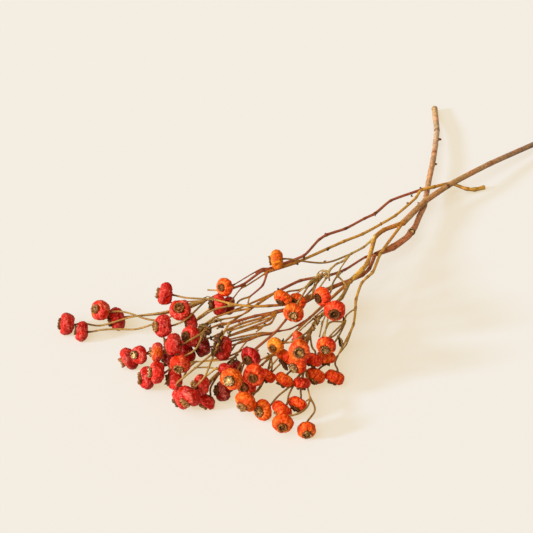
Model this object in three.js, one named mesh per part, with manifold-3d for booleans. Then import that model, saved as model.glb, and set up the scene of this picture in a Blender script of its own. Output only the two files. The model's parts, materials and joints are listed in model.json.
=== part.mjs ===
// A dried spray of wild rose hips lying on a table, in millimetres, +Z up.
// Three cut stems cross one another, and their twigs run together into clusters of
// hips. +X runs along the spray towards the cut ends, and Z = 0 is the table.
import * as THREE from 'three';
import { mergeVertices } from 'three/addons/utils/BufferGeometryUtils.js';
import Module from 'manifold-3d';

const wasm = await Module();
wasm.setup();

// Driving dimensions
const HIP_THICKNESS = 0.62; // of a hip's width: dried hips are squat
const STALK_THICKNESS = 1.25; // of the fine stalk that carries one hip
const STALK_FOOT = 1.6; // where the stalk meets its hip
const STALK_REACH = 2.6; // the last stretch, straight into the hip
const STALK_GAP = 0.4; // between the stalk's end and the floor of the hip's dimple
const ROOT_DEPTH = 0.8; // how far a twig starts inside the wood it grows from
const STEM_SIDES = 7;
const TWIG_SIDES = 5;
const STALK_SIDES = 4;
const STEM_STEP = 10; // between two rings of a stem
const TWIG_STEP = 9;
const STALK_STEP = 8;
const THICK_WOOD = 3.2; // wood above this thickness gets the sides of a stem
const HIP_SIDES = 8;

// Colours of the wood and of the hips as they dry
const tan = { color: 0xb08a5a, roughness: 0.75, metalness: 0 };
const golden = { color: 0xa9793a, roughness: 0.7, metalness: 0 };
const maroon = { color: 0x6e3328, roughness: 0.65, metalness: 0 };
const crimson = 0xb0302c;
const scarlet = 0xc23a1e;
const orange = 0xd2561c;
const garnet = 0x7d1a16;

// Each stem holds its wood and its hips. A piece of wood is a row of points
// [x, y, z, thickness] from its root to its tip. A hip is
// [number, width, [azimuth, tilt] of its dried flower end, colour, stalk],
// and its stalk runs by [x, y, z] from the wood to the hip's dimple.
const tallStem = {
  name: 'tall_stem',
  finish: tan,
  wood: [
    // the stem, from its cut end past the scar of a lost branch to the fork
    [[173, 57, 3, 5.6], [143, 34, 6, 5.2], [123, 21, 7, 5.1], [103, 10, 8, 4.9], [72, -5, 8, 4.6],
      [45, -19, 8, 4.4], [31, -24, 9, 4.4], [18, -29, 9, 4.5], [10, -31, 10, 6], [2, -33, 11, 4.6],
      [-17, -33, 13, 4.3], [-35, -30, 16, 3.4]],
    // upper branch, and its two twigs
    [[-35, -30, 16, 2.2], [-43, -27, 17, 1.8], [-68, -27, 21, 1.9], [-81, -24, 23, 2], [-104, -15, 28, 2.1],
      [-128, -12, 31, 2.1]],
    [[-128, -12, 31, 1.8], [-161, -7, 36, 1.4], [-177, 0, 35, 1.3]],
    [[-128, -12, 31, 1.8], [-168, -11, 34, 1.3], [-182, -7, 33, 1.2]],
    // lower branch, down to where it breaks up
    [[-35, -30, 16, 2.8], [-52, -37, 17, 2.6], [-62, -38, 18, 2.7], [-88, -31, 20, 3.1], [-94, -30, 21, 3],
      [-127, -29, 27, 2.8], [-142, -24, 30, 2.8]],
    // the twig that climbs over the pile to its far side
    [[-88, -31, 20, 1.8], [-97, -29, 22, 1.8], [-130, -27, 31, 2], [-145, -21, 36, 2], [-156, -14, 39, 1.9],
      [-165, -4, 42, 1.6], [-170, 5, 44, 1.5]],
    // four twigs that fan out from the end of the lower branch
    [[-142, -24, 30, 2.2], [-157, -19, 34, 2], [-178, -15, 40, 2]],
    [[-178, -15, 40, 1.6], [-183, -13, 42, 1.6], [-198, -11, 45, 1.5]],
    [[-178, -15, 40, 1.6], [-192, -21, 42, 1.6], [-204, -26, 41, 1.7]],
    [[-142, -24, 30, 1.8], [-154, -23, 33, 1.7], [-171, -18, 36, 1.6], [-178, -16, 36, 1.6], [-190, -11, 34, 1.3]],
    [[-142, -24, 30, 1.8], [-150, -26, 30, 1.7], [-178, -14, 28, 1.4]],
    // the near twig, which sinks between the hips
    [[-127, -29, 27, 1.8], [-142, -33, 28, 1.7], [-156, -36, 29, 1.8], [-178, -35, 27, 2], [-183, -33, 22, 1.6]],
    // short spurs where leaves once grew
    [[136, 29, 6, 2.2], [134, 24, 8, 1.2]],
    [[121, 20, 7, 2.2], [118, 16, 9, 1.2]],
    [[92, 4, 8, 2.2], [88, 0, 10, 1.2]],
  ],
  hips: [
    [5, 15, [130, 10], crimson, [[-170, 5, 44], [-180, 23, 42], [-181, 34, 39]]],
    [8, 12, [145, -10], garnet, [[-156, -14, 39], [-160, -9, 40], [-166, -5, 41], [-175, 2, 40], [-179, 5, 37],
      [-181, 12, 29]]],
    [9, 15, [150, -20], crimson, [[-177, 0, 35], [-191, 4, 27], [-206, 13, 17], [-218, 35, 9]]],
    [10, 12, [165, 25], scarlet, [[-177, 0, 35], [-190, 5, 28], [-204, 13, 22], [-214, 23, 19], [-218, 26, 16]]],
    [11, 12, [135, 5], scarlet, [[-177, 0, 35], [-188, 4, 31], [-215, 11, 25]]],
    [13, 15, [140, 5], scarlet, [[-177, 0, 35], [-204, 7, 14], [-219, 8, 9], [-224, 12, 8]]],
    [14, 15, [125, -5], crimson, [[-198, -11, 45], [-206, -11, 45], [-211, -9, 45], [-214, -5, 41]]],
    [15, 13, [210, -5], orange, [[-198, -11, 45], [-207, -15, 43], [-212, -16, 41], [-218, -9, 33]]],
    [17, 14, [165, 30], scarlet, [[-190, -11, 34], [-195, -9, 34], [-198, -3, 35]]],
    [31, 15, [185, -25], crimson, [[-204, -26, 41], [-218, -32, 38], [-221, -32, 34], [-223, -29, 29],
      [-225, -25, 21]]],
    [32, 13, [160, -20], scarlet, [[-204, -26, 41], [-221, -26, 40], [-228, -21, 33], [-228, -13, 20],
      [-221, -14, 14], [-224, -17, 10]]],
    [34, 14, [140, 15], garnet, [[-183, -33, 22], [-200, -33, 6]]],
    [35, 14, [200, 30], orange, [[-183, -33, 22], [-193, -36, 25], [-205, -42, 28]]],
    [38, 13, [190, 20], scarlet, [[-183, -33, 22], [-186, -39, 17], [-192, -44, 14]]],
    [40, 13, [190, 5], garnet, [[-178, -35, 27], [-175, -38, 28], [-184, -41, 33]]],
  ],
};

const sideStem = {
  name: 'side_stem',
  finish: golden,
  wood: [
    // the stem, from its cut end to the fork
    [[230, -51, 3, 4.4], [121, -30, 12, 4.4], [72, -23, 15, 4.5], [43, -20, 14, 4.5], [8, -24, 16, 4.7]],
    // brown branch, and the pale twig that forks twice
    [[8, -24, 16, 3.9], [-11, -20, 19, 3.3], [-25, -22, 22, 3.5]],
    [[-25, -22, 22, 2.1], [-42, -24, 24, 1.8], [-56, -23, 26, 1.8]],
    [[-56, -23, 26, 1.6], [-69, -25, 28, 1.6], [-74, -24, 29, 1.5], [-93, -27, 32, 2.2]],
    [[-56, -23, 26, 1.2], [-78, -30, 30, 1.1], [-85, -33, 30, 1.5]],
    // golden branch, thick again past the fork
    [[-25, -22, 22, 3.2], [-55, -37, 24, 3.3], [-64, -39, 25, 3.4], [-80, -40, 25, 3.5]],
    [[-80, -40, 25, 2.6], [-125, -40, 22, 1.8], [-153, -42, 22, 1.5], [-169, -43, 20, 1.3]],
    [[-80, -40, 25, 2.8], [-97, -46, 25, 2.7], [-123, -46, 24, 2.6], [-131, -48, 25, 2.4]],
    [[-131, -48, 25, 1.9], [-138, -51, 23, 1.6], [-144, -53, 20, 1.5], [-157, -62, 14, 1.3]],
    // the low near twig and its bare stub
    [[-157, -62, 14, 1.3], [-163, -69, 14, 1.3], [-167, -72, 11, 1.2], [-174, -80, 10, 1.3]],
    [[-174, -80, 10, 1.2], [-177, -79, 9, 1]],
    // the thin twig that crosses the middle of the pile, and its forks
    [[-125, -40, 22, 1.5], [-144, -39, 25, 1.3], [-152, -36, 27, 1.3], [-163, -30, 28, 1.3]],
    [[-163, -30, 28, 1.3], [-171, -26, 28, 1.2], [-186, -26, 22, 1.2]],
    [[-186, -26, 22, 1.2], [-190, -22, 20, 1.1], [-204, -8, 20, 1.1]],
    [[-186, -26, 22, 1.2], [-199, -26, 20, 1.1]],
    // golden side branch, down along the near edge
    [[8, -24, 16, 2.4], [-36, -35, 20, 2.3], [-55, -42, 18, 2.1], [-61, -42, 18, 2], [-68, -42, 17, 2],
      [-84, -49, 16, 2.1], [-91, -54, 16, 1.9], [-104, -62, 14, 1.8], [-131, -69, 8, 1.3]],
    [[-104, -62, 14, 1.2], [-118, -67, 9, 1.1], [-135, -68, 6, 1.1]],
    [[-91, -54, 16, 1.2], [-104, -55, 18, 1.2], [-110, -59, 18, 1.3]],
    // a bare stalk that lost its hip
    [[-93, -27, 32, 1.2], [-105, -29, 36, 1.1], [-127, -43, 45, 1.1]],
    // short spurs
    [[62, -23, 15, 2.2], [60, -26, 17, 1.2]],
    [[96, -26, 13, 2.2], [94, -22, 15, 1.2]],
  ],
  hips: [
    [12, 14, [140, 10], scarlet, [[-204, -8, 20], [-218, 1, 20], [-224, 2, 19]]],
    [16, 14, [145, 10], crimson, [[-204, -8, 20], [-212, -7, 18], [-216, -5, 11]]],
    [18, 13, [140, 10], garnet, [[-163, -30, 28], [-184, -11, 23], [-189, -6, 21]]],
    [19, 16, [130, 15], garnet, [[-171, -26, 28], [-183, -23, 29], [-188, -24, 29]]],
    [24, 13, [130, -10], orange, [[-56, -23, 26], [-82, -19, 32], [-108, -2, 43]]],
    [25, 12, [190, -20], scarlet, [[-93, -27, 32], [-108, -27, 35], [-122, -29, 39], [-134, -26, 42]]],
    [26, 13, [215, 15], orange, [[-93, -27, 32], [-108, -29, 38], [-131, -38, 45], [-142, -40, 41]]],
    [27, 12, [180, 15], orange, [[-93, -27, 32], [-126, -33, 35]]],
    [28, 13, [165, 5], scarlet, [[-85, -33, 30], [-97, -38, 34], [-114, -46, 39]]],
    [29, 14, [215, 5], scarlet, [[-85, -33, 30], [-96, -49, 36], [-107, -55, 40], [-121, -58, 40]]],
    [30, 14, [145, 15], scarlet, [[-199, -26, 20], [-207, -26, 20], [-213, -26, 17]]],
    [33, 12, [175, -40], scarlet, [[-199, -26, 20], [-209, -24, 8], [-213, -28, 8]]],
    [36, 12, [185, -30], garnet, [[-186, -26, 22], [-191, -28, 23], [-197, -32, 26]]],
    [37, 14, [210, 15], scarlet, [[-169, -43, 20], [-192, -49, 28]]],
    [39, 11, [175, -35], scarlet, [[-169, -43, 20], [-173, -47, 19], [-178, -50, 18]]],
    [41, 14, [190, -15], orange, [[-169, -43, 20], [-176, -45, 11], [-194, -52, 13], [-203, -53, 17]]],
    [42, 13, [175, 20], orange, [[-157, -62, 14], [-175, -64, 11], [-186, -62, 9], [-196, -62, 6]]],
    [43, 13, [170, -30], orange, [[-157, -62, 14], [-182, -68, 10], [-189, -72, 10]]],
    [44, 13, [220, 5], scarlet, [[-174, -80, 10], [-182, -84, 11], [-193, -84, 13], [-201, -79, 12]]],
    [45, 12, [190, -25], scarlet, [[-157, -62, 14], [-173, -71, 9], [-178, -75, 9]]],
    [46, 12, [225, -5], scarlet, [[-174, -80, 10], [-178, -88, 8], [-192, -91, 7]]],
    [47, 12, [180, -35], orange, [[-157, -62, 14], [-164, -60, 15], [-176, -62, 21]]],
    [48, 11, [210, -50], garnet, [[-157, -62, 14], [-163, -65, 14], [-170, -70, 19]]],
    [49, 13, [190, -25], orange, [[-135, -68, 6], [-152, -69, 11]]],
    [50, 13, [185, -45], scarlet, [[-131, -69, 8], [-137, -71, 7], [-143, -78, 9]]],
    [51, 13, [210, -5], scarlet, [[-110, -59, 18], [-132, -66, 26], [-142, -68, 30]]],
    [52, 13, [215, -50], orange, [[-110, -59, 18], [-119, -62, 17], [-131, -65, 17], [-141, -67, 19]]],
    [53, 14, [215, 30], orange, [[-131, -48, 25], [-142, -54, 30], [-167, -65, 39]]],
    [54, 13, [180, -5], orange, [[-144, -53, 20], [-154, -59, 24], [-165, -65, 28]]],
    [55, 13, [180, -35], scarlet, [[-138, -51, 23], [-150, -51, 21], [-160, -51, 23]]],
    [56, 12, [190, -45], scarlet, [[-138, -51, 23], [-146, -59, 21], [-152, -66, 24]]],
    [57, 11, [190, 10], orange, [[-131, -48, 25], [-146, -54, 32], [-157, -56, 36], [-163, -54, 35],
      [-166, -46, 32]]],
    [20, 11, [125, -30], crimson, [[-131, -48, 25], [-139, -51, 27], [-149, -54, 29]]],
  ],
};

const shortStem = {
  name: 'short_stem',
  finish: maroon,
  wood: [
    // the stem, from its cut end to the fork
    [[103, -37, 2, 3.4], [95, -34, 3, 3.3], [89, -30, 5, 3], [81, -19, 10, 2.4], [65, -14, 13, 2.7],
      [54, -9, 14, 2.8]],
    // maroon branch
    [[54, -9, 14, 2.3], [23, -2, 18, 2.1], [0, -4, 20, 2.3], [-12, -3, 22, 2], [-33, -1, 24, 2.1],
      [-51, 3, 27, 2.2], [-60, 3, 28, 2], [-85, -3, 32, 2], [-105, 3, 33, 2], [-114, 4, 35, 2.1]],
    // golden branch, alongside it
    [[54, -9, 14, 2.3], [43, -12, 14, 2.2], [11, -15, 17, 2.1], [-28, -13, 22, 2.2], [-46, -9, 24, 2.2],
      [-93, -2, 30, 2.1], [-118, 3, 35, 2.1]],
    // three twigs from the maroon branch's end, and a bare stalk
    [[-114, 4, 35, 1.4], [-120, 6, 38, 1.2], [-147, 8, 40, 1]],
    [[-114, 4, 35, 2.1], [-121, 5, 37, 1.9], [-142, 5, 38, 1.8], [-149, 8, 38, 1.7], [-155, 13, 35, 1.6],
      [-168, 15, 36, 1.5]],
    [[-168, 15, 36, 1.2], [-182, 35, 32, 1]],
    // two twigs from the golden branch's end, one with a stub
    [[-118, 3, 35, 1.4], [-140, 4, 36, 1.2], [-143, 5, 36, 1.1], [-154, 3, 35, 1.1]],
    [[-118, 3, 35, 1.9], [-130, -3, 34, 1.6], [-144, -3, 33, 1.3]],
    [[-144, -3, 33, 1.2], [-148, -5, 31, 1.1]],
    // short spurs
    [[23, -2, 18, 1.8], [20, 0, 20, 1]],
    [[-51, 3, 27, 1.8], [-54, 5, 29, 1]],
    [[36, -12, 15, 1.8], [33, -15, 16, 1]],
  ],
  hips: [
    [1, 15, [135, 10], crimson, [[-168, 15, 36], [-176, 23, 34], [-186, 32, 29], [-199, 58, 17], [-210, 69, 12],
      [-212, 77, 7], [-214, 93, 2], [-222, 91, 7]]],
    [2, 13, [130, 10], scarlet, [[-168, 15, 36], [-177, 20, 33], [-197, 39, 20], [-203, 49, 14], [-207, 61, 10],
      [-215, 71, 9], [-220, 79, 6]]],
    [3, 14, [160, 40], orange, [[-168, 15, 36], [-195, 35, 25], [-200, 58, 22], [-203, 66, 21], [-206, 75, 17]]],
    [4, 16, [145, -5], scarlet, [[-168, 15, 36], [-176, 22, 34], [-185, 32, 27], [-192, 45, 22], [-196, 64, 12],
      [-196, 68, 9]]],
    [6, 14, [210, 60], orange, [[-168, 15, 36], [-173, 19, 35], [-187, 20, 36]]],
    [7, 15, [150, 15], crimson, [[-168, 15, 36], [-187, 11, 38], [-192, 11, 37], [-195, 14, 35], [-197, 22, 29]]],
    [21, 12, [175, 25], orange, [[-147, 8, 40], [-152, 9, 41]]],
    [22, 14, [140, 5], crimson, [[-154, 3, 35], [-162, 3, 35]]],
    [23, 12, [130, 0], garnet, [[-144, -3, 33], [-150, 3, 30], [-153, 3, 28]]],
  ],
};

// The way a hip's dried flower end faces, from its azimuth and tilt in degrees
function direction([azimuth, tilt]) {
  const around = THREE.MathUtils.degToRad(azimuth);
  const up = THREE.MathUtils.degToRad(tilt);
  return new THREE.Vector3(Math.cos(up) * Math.cos(around), Math.cos(up) * Math.sin(around), Math.sin(up));
}

// A round length of wood along its points, with its own thickness at each of them.
// A section 1 mm in radius is extruded, and then each ring is brought to its size.
function length(points, thicknesses, sides, step) {
  const start = points[0].clone();
  start.addScaledVector(points[1].clone().sub(start).normalize(), -ROOT_DEPTH);
  const curve = new THREE.CatmullRomCurve3([start, ...points.slice(1)], false, 'centripetal');
  const section = new THREE.Shape();
  for (let i = 0; i < sides; i += 1) {
    const angle = (2 * Math.PI * i) / sides;
    section[i ? 'lineTo' : 'moveTo'](Math.cos(angle), Math.sin(angle));
  }
  section.closePath();
  const steps = Math.max(2, Math.round(curve.getLength() / step));
  const geometry = new THREE.ExtrudeGeometry(section, { steps, bevelEnabled: false, extrudePath: curve });

  const rings = curve.getSpacedPoints(steps);
  const radii = rings.map((ring, i) => {
    const along = curve.getUtoTmapping(i / steps) * (points.length - 1);
    const before = Math.min(Math.floor(along), points.length - 2);
    return THREE.MathUtils.lerp(thicknesses[before], thicknesses[before + 1], along - before) / 2;
  });
  const position = geometry.getAttribute('position');
  const corner = new THREE.Vector3();
  for (let i = 0; i < position.count; i += 1) {
    corner.fromBufferAttribute(position, i);
    const distances = rings.map((ring) => ring.distanceTo(corner));
    const nearest = distances.indexOf(Math.min(...distances));
    corner.sub(rings[nearest]).multiplyScalar(radii[nearest]).add(rings[nearest]);
    position.setXYZ(i, corner.x, corner.y, corner.z);
  }
  return solid(geometry);
}

// A closed geometry as a solid that can be joined to others
function solid(geometry) {
  const bare = geometry.clone();
  bare.deleteAttribute('normal');
  bare.deleteAttribute('uv');
  const merged = mergeVertices(bare, 1e-4);
  return new wasm.Manifold(new wasm.Mesh({
    numProp: 3,
    vertProperties: merged.getAttribute('position').array,
    triVerts: new Uint32Array(merged.getIndex().array),
  }));
}

// The fine stalk of one hip, which thickens a little where it enters the dimple
function stalk(points, facing) {
  const tip = points[points.length - 1];
  const route = [...points.slice(0, -1), tip.clone().addScaledVector(facing, -STALK_REACH), tip];
  const thicknesses = route.map((point) => (point === tip ? STALK_FOOT : STALK_THICKNESS));
  return length(route, thicknesses, STALK_SIDES, STALK_STEP);
}

// A stem with all its branches, twigs and stalks, which grew as one piece
function makeStem({ name, finish, wood, hips }) {
  const lengths = wood.map((row) => {
    const points = row.map(([x, y, z]) => new THREE.Vector3(x, y, z));
    const thicknesses = row.map((point) => point[3]);
    const thick = thicknesses[0] > THICK_WOOD;
    return length(points, thicknesses, thick ? STEM_SIDES : TWIG_SIDES, thick ? STEM_STEP : TWIG_STEP);
  });
  for (const [, , faces, , route] of hips) {
    lengths.push(stalk(route.map(([x, y, z]) => new THREE.Vector3(x, y, z)), direction(faces)));
  }
  const joined = lengths.reduce((whole, piece) => whole.add(piece)).getMesh();
  const geometry = new THREE.BufferGeometry();
  geometry.setAttribute('position', new THREE.BufferAttribute(joined.vertProperties, joined.numProp));
  geometry.setIndex(new THREE.BufferAttribute(joined.triVerts, 1));
  geometry.computeVertexNormals();
  const mesh = new THREE.Mesh(geometry, new THREE.MeshStandardMaterial(finish));
  mesh.name = name;
  return mesh;
}

// One hip: a squat berry with a dimple for its stalk and a raised round collar
// at its dried flower end. The outline is [radius, height] in half widths.
const DIMPLE = -0.5;
const hipOutline = [
  [0, DIMPLE], [0.2, -0.53], [0.55, -0.6], [0.88, -0.38], [1, 0], [0.88, 0.35], [0.55, 0.6], [0.4, 0.6],
  [0, 0.5],
];

function makeHip([number, width, faces, colour, route]) {
  const squash = HIP_THICKNESS / 0.6;
  const outline = hipOutline.map(([radius, height]) => (
    new THREE.Vector2((radius * width) / 2, (height * squash * width) / 2)
  ));
  const geometry = new THREE.LatheGeometry(outline, HIP_SIDES);
  const material = new THREE.MeshStandardMaterial({ color: colour, roughness: 0.5, metalness: 0 });
  const mesh = new THREE.Mesh(geometry, material);
  const facing = direction(faces);
  mesh.quaternion.setFromUnitVectors(new THREE.Vector3(0, 1, 0), facing);
  mesh.position.set(...route[route.length - 1]);
  mesh.position.addScaledVector(facing, STALK_GAP - (DIMPLE * squash * width) / 2);
  mesh.name = `hip_${String(number).padStart(2, '0')}`;
  return mesh;
}

const spray = new THREE.Group();
for (const stem of [tallStem, sideStem, shortStem]) {
  spray.add(makeStem(stem));
  stem.hips.forEach((row) => spray.add(makeHip(row)));
}

// The origin is under the middle of the spray, on the table
const box = new THREE.Box3().setFromObject(spray, true);
const middle = box.getCenter(new THREE.Vector3());
spray.position.set(-middle.x, -middle.y, -box.min.z);

export default spray;
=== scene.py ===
# %% [markdown]
# # A dried spray of wild rose hips
#
# Three cut rose stems lie across one another on a table, and their twigs run
# together into clusters of small, squat, wrinkled hips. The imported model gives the
# solid of every stem and hip. This lesson gives each of them its finish: bark with
# nodes and spurs, leathery skins, and the ragged dark crowns that the flowers left.

# %% Load the frame
import bmesh
import bpy
import copy
import json
import math
import random
import numpy as np
from collections import namedtuple
from mathutils import Matrix, Vector, kdtree, noise


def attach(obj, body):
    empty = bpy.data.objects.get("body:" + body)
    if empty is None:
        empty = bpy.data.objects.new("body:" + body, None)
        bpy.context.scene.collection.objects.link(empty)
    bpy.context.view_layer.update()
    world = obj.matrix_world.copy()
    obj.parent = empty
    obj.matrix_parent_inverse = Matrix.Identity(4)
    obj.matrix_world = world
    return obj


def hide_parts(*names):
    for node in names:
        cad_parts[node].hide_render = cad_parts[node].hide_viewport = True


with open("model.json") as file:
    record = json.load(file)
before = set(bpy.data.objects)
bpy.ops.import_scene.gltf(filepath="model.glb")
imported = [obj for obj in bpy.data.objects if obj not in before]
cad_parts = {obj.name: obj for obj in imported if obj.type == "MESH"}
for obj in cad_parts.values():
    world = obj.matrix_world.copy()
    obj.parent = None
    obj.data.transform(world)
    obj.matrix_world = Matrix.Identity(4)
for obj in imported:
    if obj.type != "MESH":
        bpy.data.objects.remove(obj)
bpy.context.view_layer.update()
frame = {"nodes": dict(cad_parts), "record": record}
MM = 0.001
TABLE_GAP = 0.2 * MM  # nothing of the spray goes lower
BODY = "root"


# %% [markdown]
# The camera looks down on the table at the spray, with the hips to its left and the
# cut ends running away to the right. A long lens keeps the near and far hips at
# nearly one scale. It is made first, so that every later step can be looked at.

# %% Camera
VIEW_HEADING = math.radians(40)  # of the line of sight, from +X
VIEW_PITCH = math.radians(40)  # down from the level
VIEW_DISTANCE = 0.9
VIEW_AIM = Vector((-0.0802, 0.0331, 0.0))  # a point on the table
VIEW_ANGLE = math.radians(24.7)
VIEW_END = 20  # the lens sees no farther, in metres

camera_data = bpy.data.cameras.new("camera")
camera_data.angle = VIEW_ANGLE
camera_data.clip_end = VIEW_END
camera = bpy.data.objects.new("camera", camera_data)
bpy.context.scene.collection.objects.link(camera)
line_of_sight = Vector((
    math.cos(VIEW_PITCH) * math.cos(VIEW_HEADING),
    math.cos(VIEW_PITCH) * math.sin(VIEW_HEADING),
    -math.sin(VIEW_PITCH),
))
camera.location = VIEW_AIM - line_of_sight * VIEW_DISTANCE
camera.rotation_euler = line_of_sight.to_track_quat("-Z", "Y").to_euler()
bpy.context.scene.camera = camera
bpy.context.scene.view_settings.view_transform = "Standard"
print("camera at", [round(value, 3) for value in camera.location])


# %% [markdown]
# Colours are easiest to pick as a screen shows them, from 0 to 255, and a renderer
# works with linear light. One small helper turns the first into the second. The
# others shorten the making of shader nodes, which all go: make a node, set some of
# its inputs to values, and link the rest to what other nodes put out.

# %% Helpers for colours and nodes
WHITE = (1, 1, 1, 1)


def screen(red, green, blue):
    """A colour as a screen shows it, 0 to 255, as linear light with alpha, by the sRGB curve."""
    channels = [value / 255 for value in (red, green, blue)]
    linear = [c / 12.92 if c <= 0.04045 else ((c + 0.055) / 1.055) ** 2.4 for c in channels]
    return (*linear, 1.0)


def palette(**colours):
    """Screen colours by name, as vectors of linear light."""
    return {name: Vector(screen(*colour)) for name, colour in colours.items()}


def node(tree, kind, inputs=None, **settings):
    """A new node, with its settings, and its inputs set or linked by name or number."""
    made = tree.nodes.new(kind)
    for name, value in settings.items():
        setattr(made, name, value)
    for name, value in (inputs or {}).items():
        if isinstance(value, bpy.types.NodeSocket):
            tree.links.new(value, made.inputs[name])
        else:
            made.inputs[name].default_value = value
    return made


def attribute(tree, name, output="Color"):
    """What the mesh stores under a name at each of its vertices."""
    return node(tree, "ShaderNodeAttribute", attribute_name=name).outputs[output]


def ramp(tree, factor, stops):
    """A colour ramp through (position, colour) stops."""
    made = node(tree, "ShaderNodeValToRGB", {0: factor})
    elements = made.color_ramp.elements
    while len(elements) < len(stops):
        elements.new(0.5)
    for element, (position, colour) in zip(elements, stops):
        element.position = position
        element.color = colour
    return made.outputs["Color"]


def mixed(tree, factor, first, second, blend="MIX"):
    """Two colours mixed by a factor. The mix node's colours are its inputs 6 and 7."""
    made = node(tree, "ShaderNodeMix", {0: factor, 6: first, 7: second}, data_type="RGBA", blend_type=blend)
    return made.outputs[2]


def new_material(name):
    """A node material with a Principled shader, and its tree and that shader."""
    material = bpy.data.materials.new(name)
    material.use_nodes = True
    tree = material.node_tree
    return material, tree, tree.nodes["Principled BSDF"]


print("middle grey on a screen is", round(screen(128, 128, 128)[0], 3), "as light")


# %% [markdown]
# Everything on the spray is dry: bark, skins and crowns all carry the same fine dark
# mottle, and the same small bumps. So that is one node group, made once. Each
# material puts it over its own base colour, with its own scale, tone and depth.

# %% The mottle that all dried surfaces share
MOTTLE_DETAIL = 4.0
MOTTLE_ROUGHNESS = 0.6
MOTTLE_STARTS = 0.62  # the noise at which the mottle begins
MOTTLE_FULL = 0.32  # and at which it is darkest
BUMP_STRENGTH = 0.5
MULTIPLIED = 1.0  # the factor of a full multiply


def weathering_group():
    """One node group for every dried surface: a dark mottle, and its height for a bump."""
    tree = bpy.data.node_groups.new("weathering", "ShaderNodeTree")
    for name, kind in (("Scale", "Float"), ("Dark", "Color"), ("Share", "Float")):
        tree.interface.new_socket(name, in_out="INPUT", socket_type="NodeSocket" + kind)
    for name, kind in (("Tone", "Color"), ("Height", "Float")):
        tree.interface.new_socket(name, in_out="OUTPUT", socket_type="NodeSocket" + kind)
    given = tree.nodes.new("NodeGroupInput").outputs
    place = node(tree, "ShaderNodeTexCoord").outputs["Object"]
    mottle = node(tree, "ShaderNodeTexNoise", {
        "Vector": place, "Scale": given["Scale"], "Detail": MOTTLE_DETAIL, "Roughness": MOTTLE_ROUGHNESS,
    }).outputs["Fac"]
    depth = node(tree, "ShaderNodeMapRange", {
        "Value": mottle, "From Min": MOTTLE_STARTS, "From Max": MOTTLE_FULL,
    }).outputs["Result"]
    share = node(tree, "ShaderNodeMath", {0: depth, 1: given["Share"]}, operation="MULTIPLY").outputs[0]
    tone = mixed(tree, share, WHITE, given["Dark"])
    node(tree, "NodeGroupOutput", {"Tone": tone, "Height": mottle})
    return tree


weathering = weathering_group()


def weathered(tree, shader, base, scale, dark, share, depth):
    """Feeds a shader with a base colour under the shared mottle, and with its bump."""
    effect = node(tree, "ShaderNodeGroup", node_tree=weathering)
    for name, value in (("Scale", scale), ("Dark", dark), ("Share", share)):
        effect.inputs[name].default_value = value
    toned = mixed(tree, MULTIPLIED, base, effect.outputs["Tone"], "MULTIPLY")
    tree.links.new(toned, shader.inputs["Base Color"])
    height = effect.outputs["Height"]
    bump = node(tree, "ShaderNodeBump", {"Height": height, "Strength": BUMP_STRENGTH, "Distance": depth})
    tree.links.new(bump.outputs["Normal"], shader.inputs["Normal"])
    return height, bump.outputs["Normal"]


print("the mottle takes", [item.name for item in weathering.interface.items_tree if item.in_out == "INPUT"])


# %% [markdown]
# A finished mesh becomes a piece of the spray: its object stays at the origin, moves
# with the one body, and stands for the solids that it replaces. Small helpers also
# run a modifier on a bare mesh and take the result.

# %% Helpers for meshes and pieces
def new_piece(name, mesh, slot, *nodes):
    """A finished mesh as a piece of the spray, standing for CAD nodes."""
    piece = bpy.data.objects.new(name, mesh)
    bpy.context.scene.collection.objects.link(piece)
    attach(piece, BODY)
    if nodes:
        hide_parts(*nodes)
    return piece


def evaluated(name, data, kind=None, **settings):
    """A curve's or mesh's data as a new mesh, with one modifier applied if a kind is given."""
    source = bpy.data.objects.new(name, data)
    bpy.context.scene.collection.objects.link(source)
    if kind:
        modifier = source.modifiers.new(kind.lower(), kind)
        for setting, value in settings.items():
            setattr(modifier, setting, value)
    mesh = bpy.data.meshes.new_from_object(source.evaluated_get(bpy.context.evaluated_depsgraph_get()))
    bpy.data.objects.remove(source)
    return mesh


def mesh_from(form, name):
    """A bmesh as a new mesh, and the bmesh is freed."""
    mesh = bpy.data.meshes.new(name)
    form.to_mesh(mesh)
    form.free()
    return mesh


def placed_tree(places):
    """A tree that finds the nearest of some places."""
    tree = kdtree.KDTree(len(places))
    for index, place in enumerate(places):
        tree.insert(place, index)
    tree.balance()
    return tree


print("all pieces ride on", BODY)


# %% [markdown]
# Nothing on a dried plant is even or sharp. Most of what follows is therefore made
# with noise, usually a coarse one with a finer one on top, and with soft bells and
# soft edges instead of hard ones. Blender's noise of vectors starts from the clock
# unless it is given a seed. So the seed is set first, and the spray comes out the
# same in every run.

# %% Helpers for noise and soft edges
NOISE_SEED = 1
NOWHERE = Vector((0, 0, 0))
FAR = 50  # in the noise's own units, in which its bumps are about 1 apart

noise.seed_set(NOISE_SEED)


def layered(place, coarse, fine, share, seed=NOWHERE):
    """Coarse noise at a place, with a share of finer noise on top."""
    return noise.noise(place * coarse + seed) + share * noise.noise(place * fine - seed)


def random_seed(draw):
    """Somewhere far off in the noise, so that no two pieces are alike."""
    return Vector([draw.uniform(-FAR, FAR) for _ in range(3)])


def between(value, low=0.0, high=1.0):
    """The value, held between two limits."""
    return max(low, min(high, value))


def bell(distance, width):
    """1 at no distance, and nearly 0 beyond two widths."""
    return math.exp(-((distance / width) ** 2))


def inside(distance, edge, steepness):
    """1 well inside an edge and 0 well outside, with a soft change between."""
    return 1 / (1 + math.exp((distance - edge) * steepness))


print("a bell one width away is", round(bell(1, 1), 3))


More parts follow.
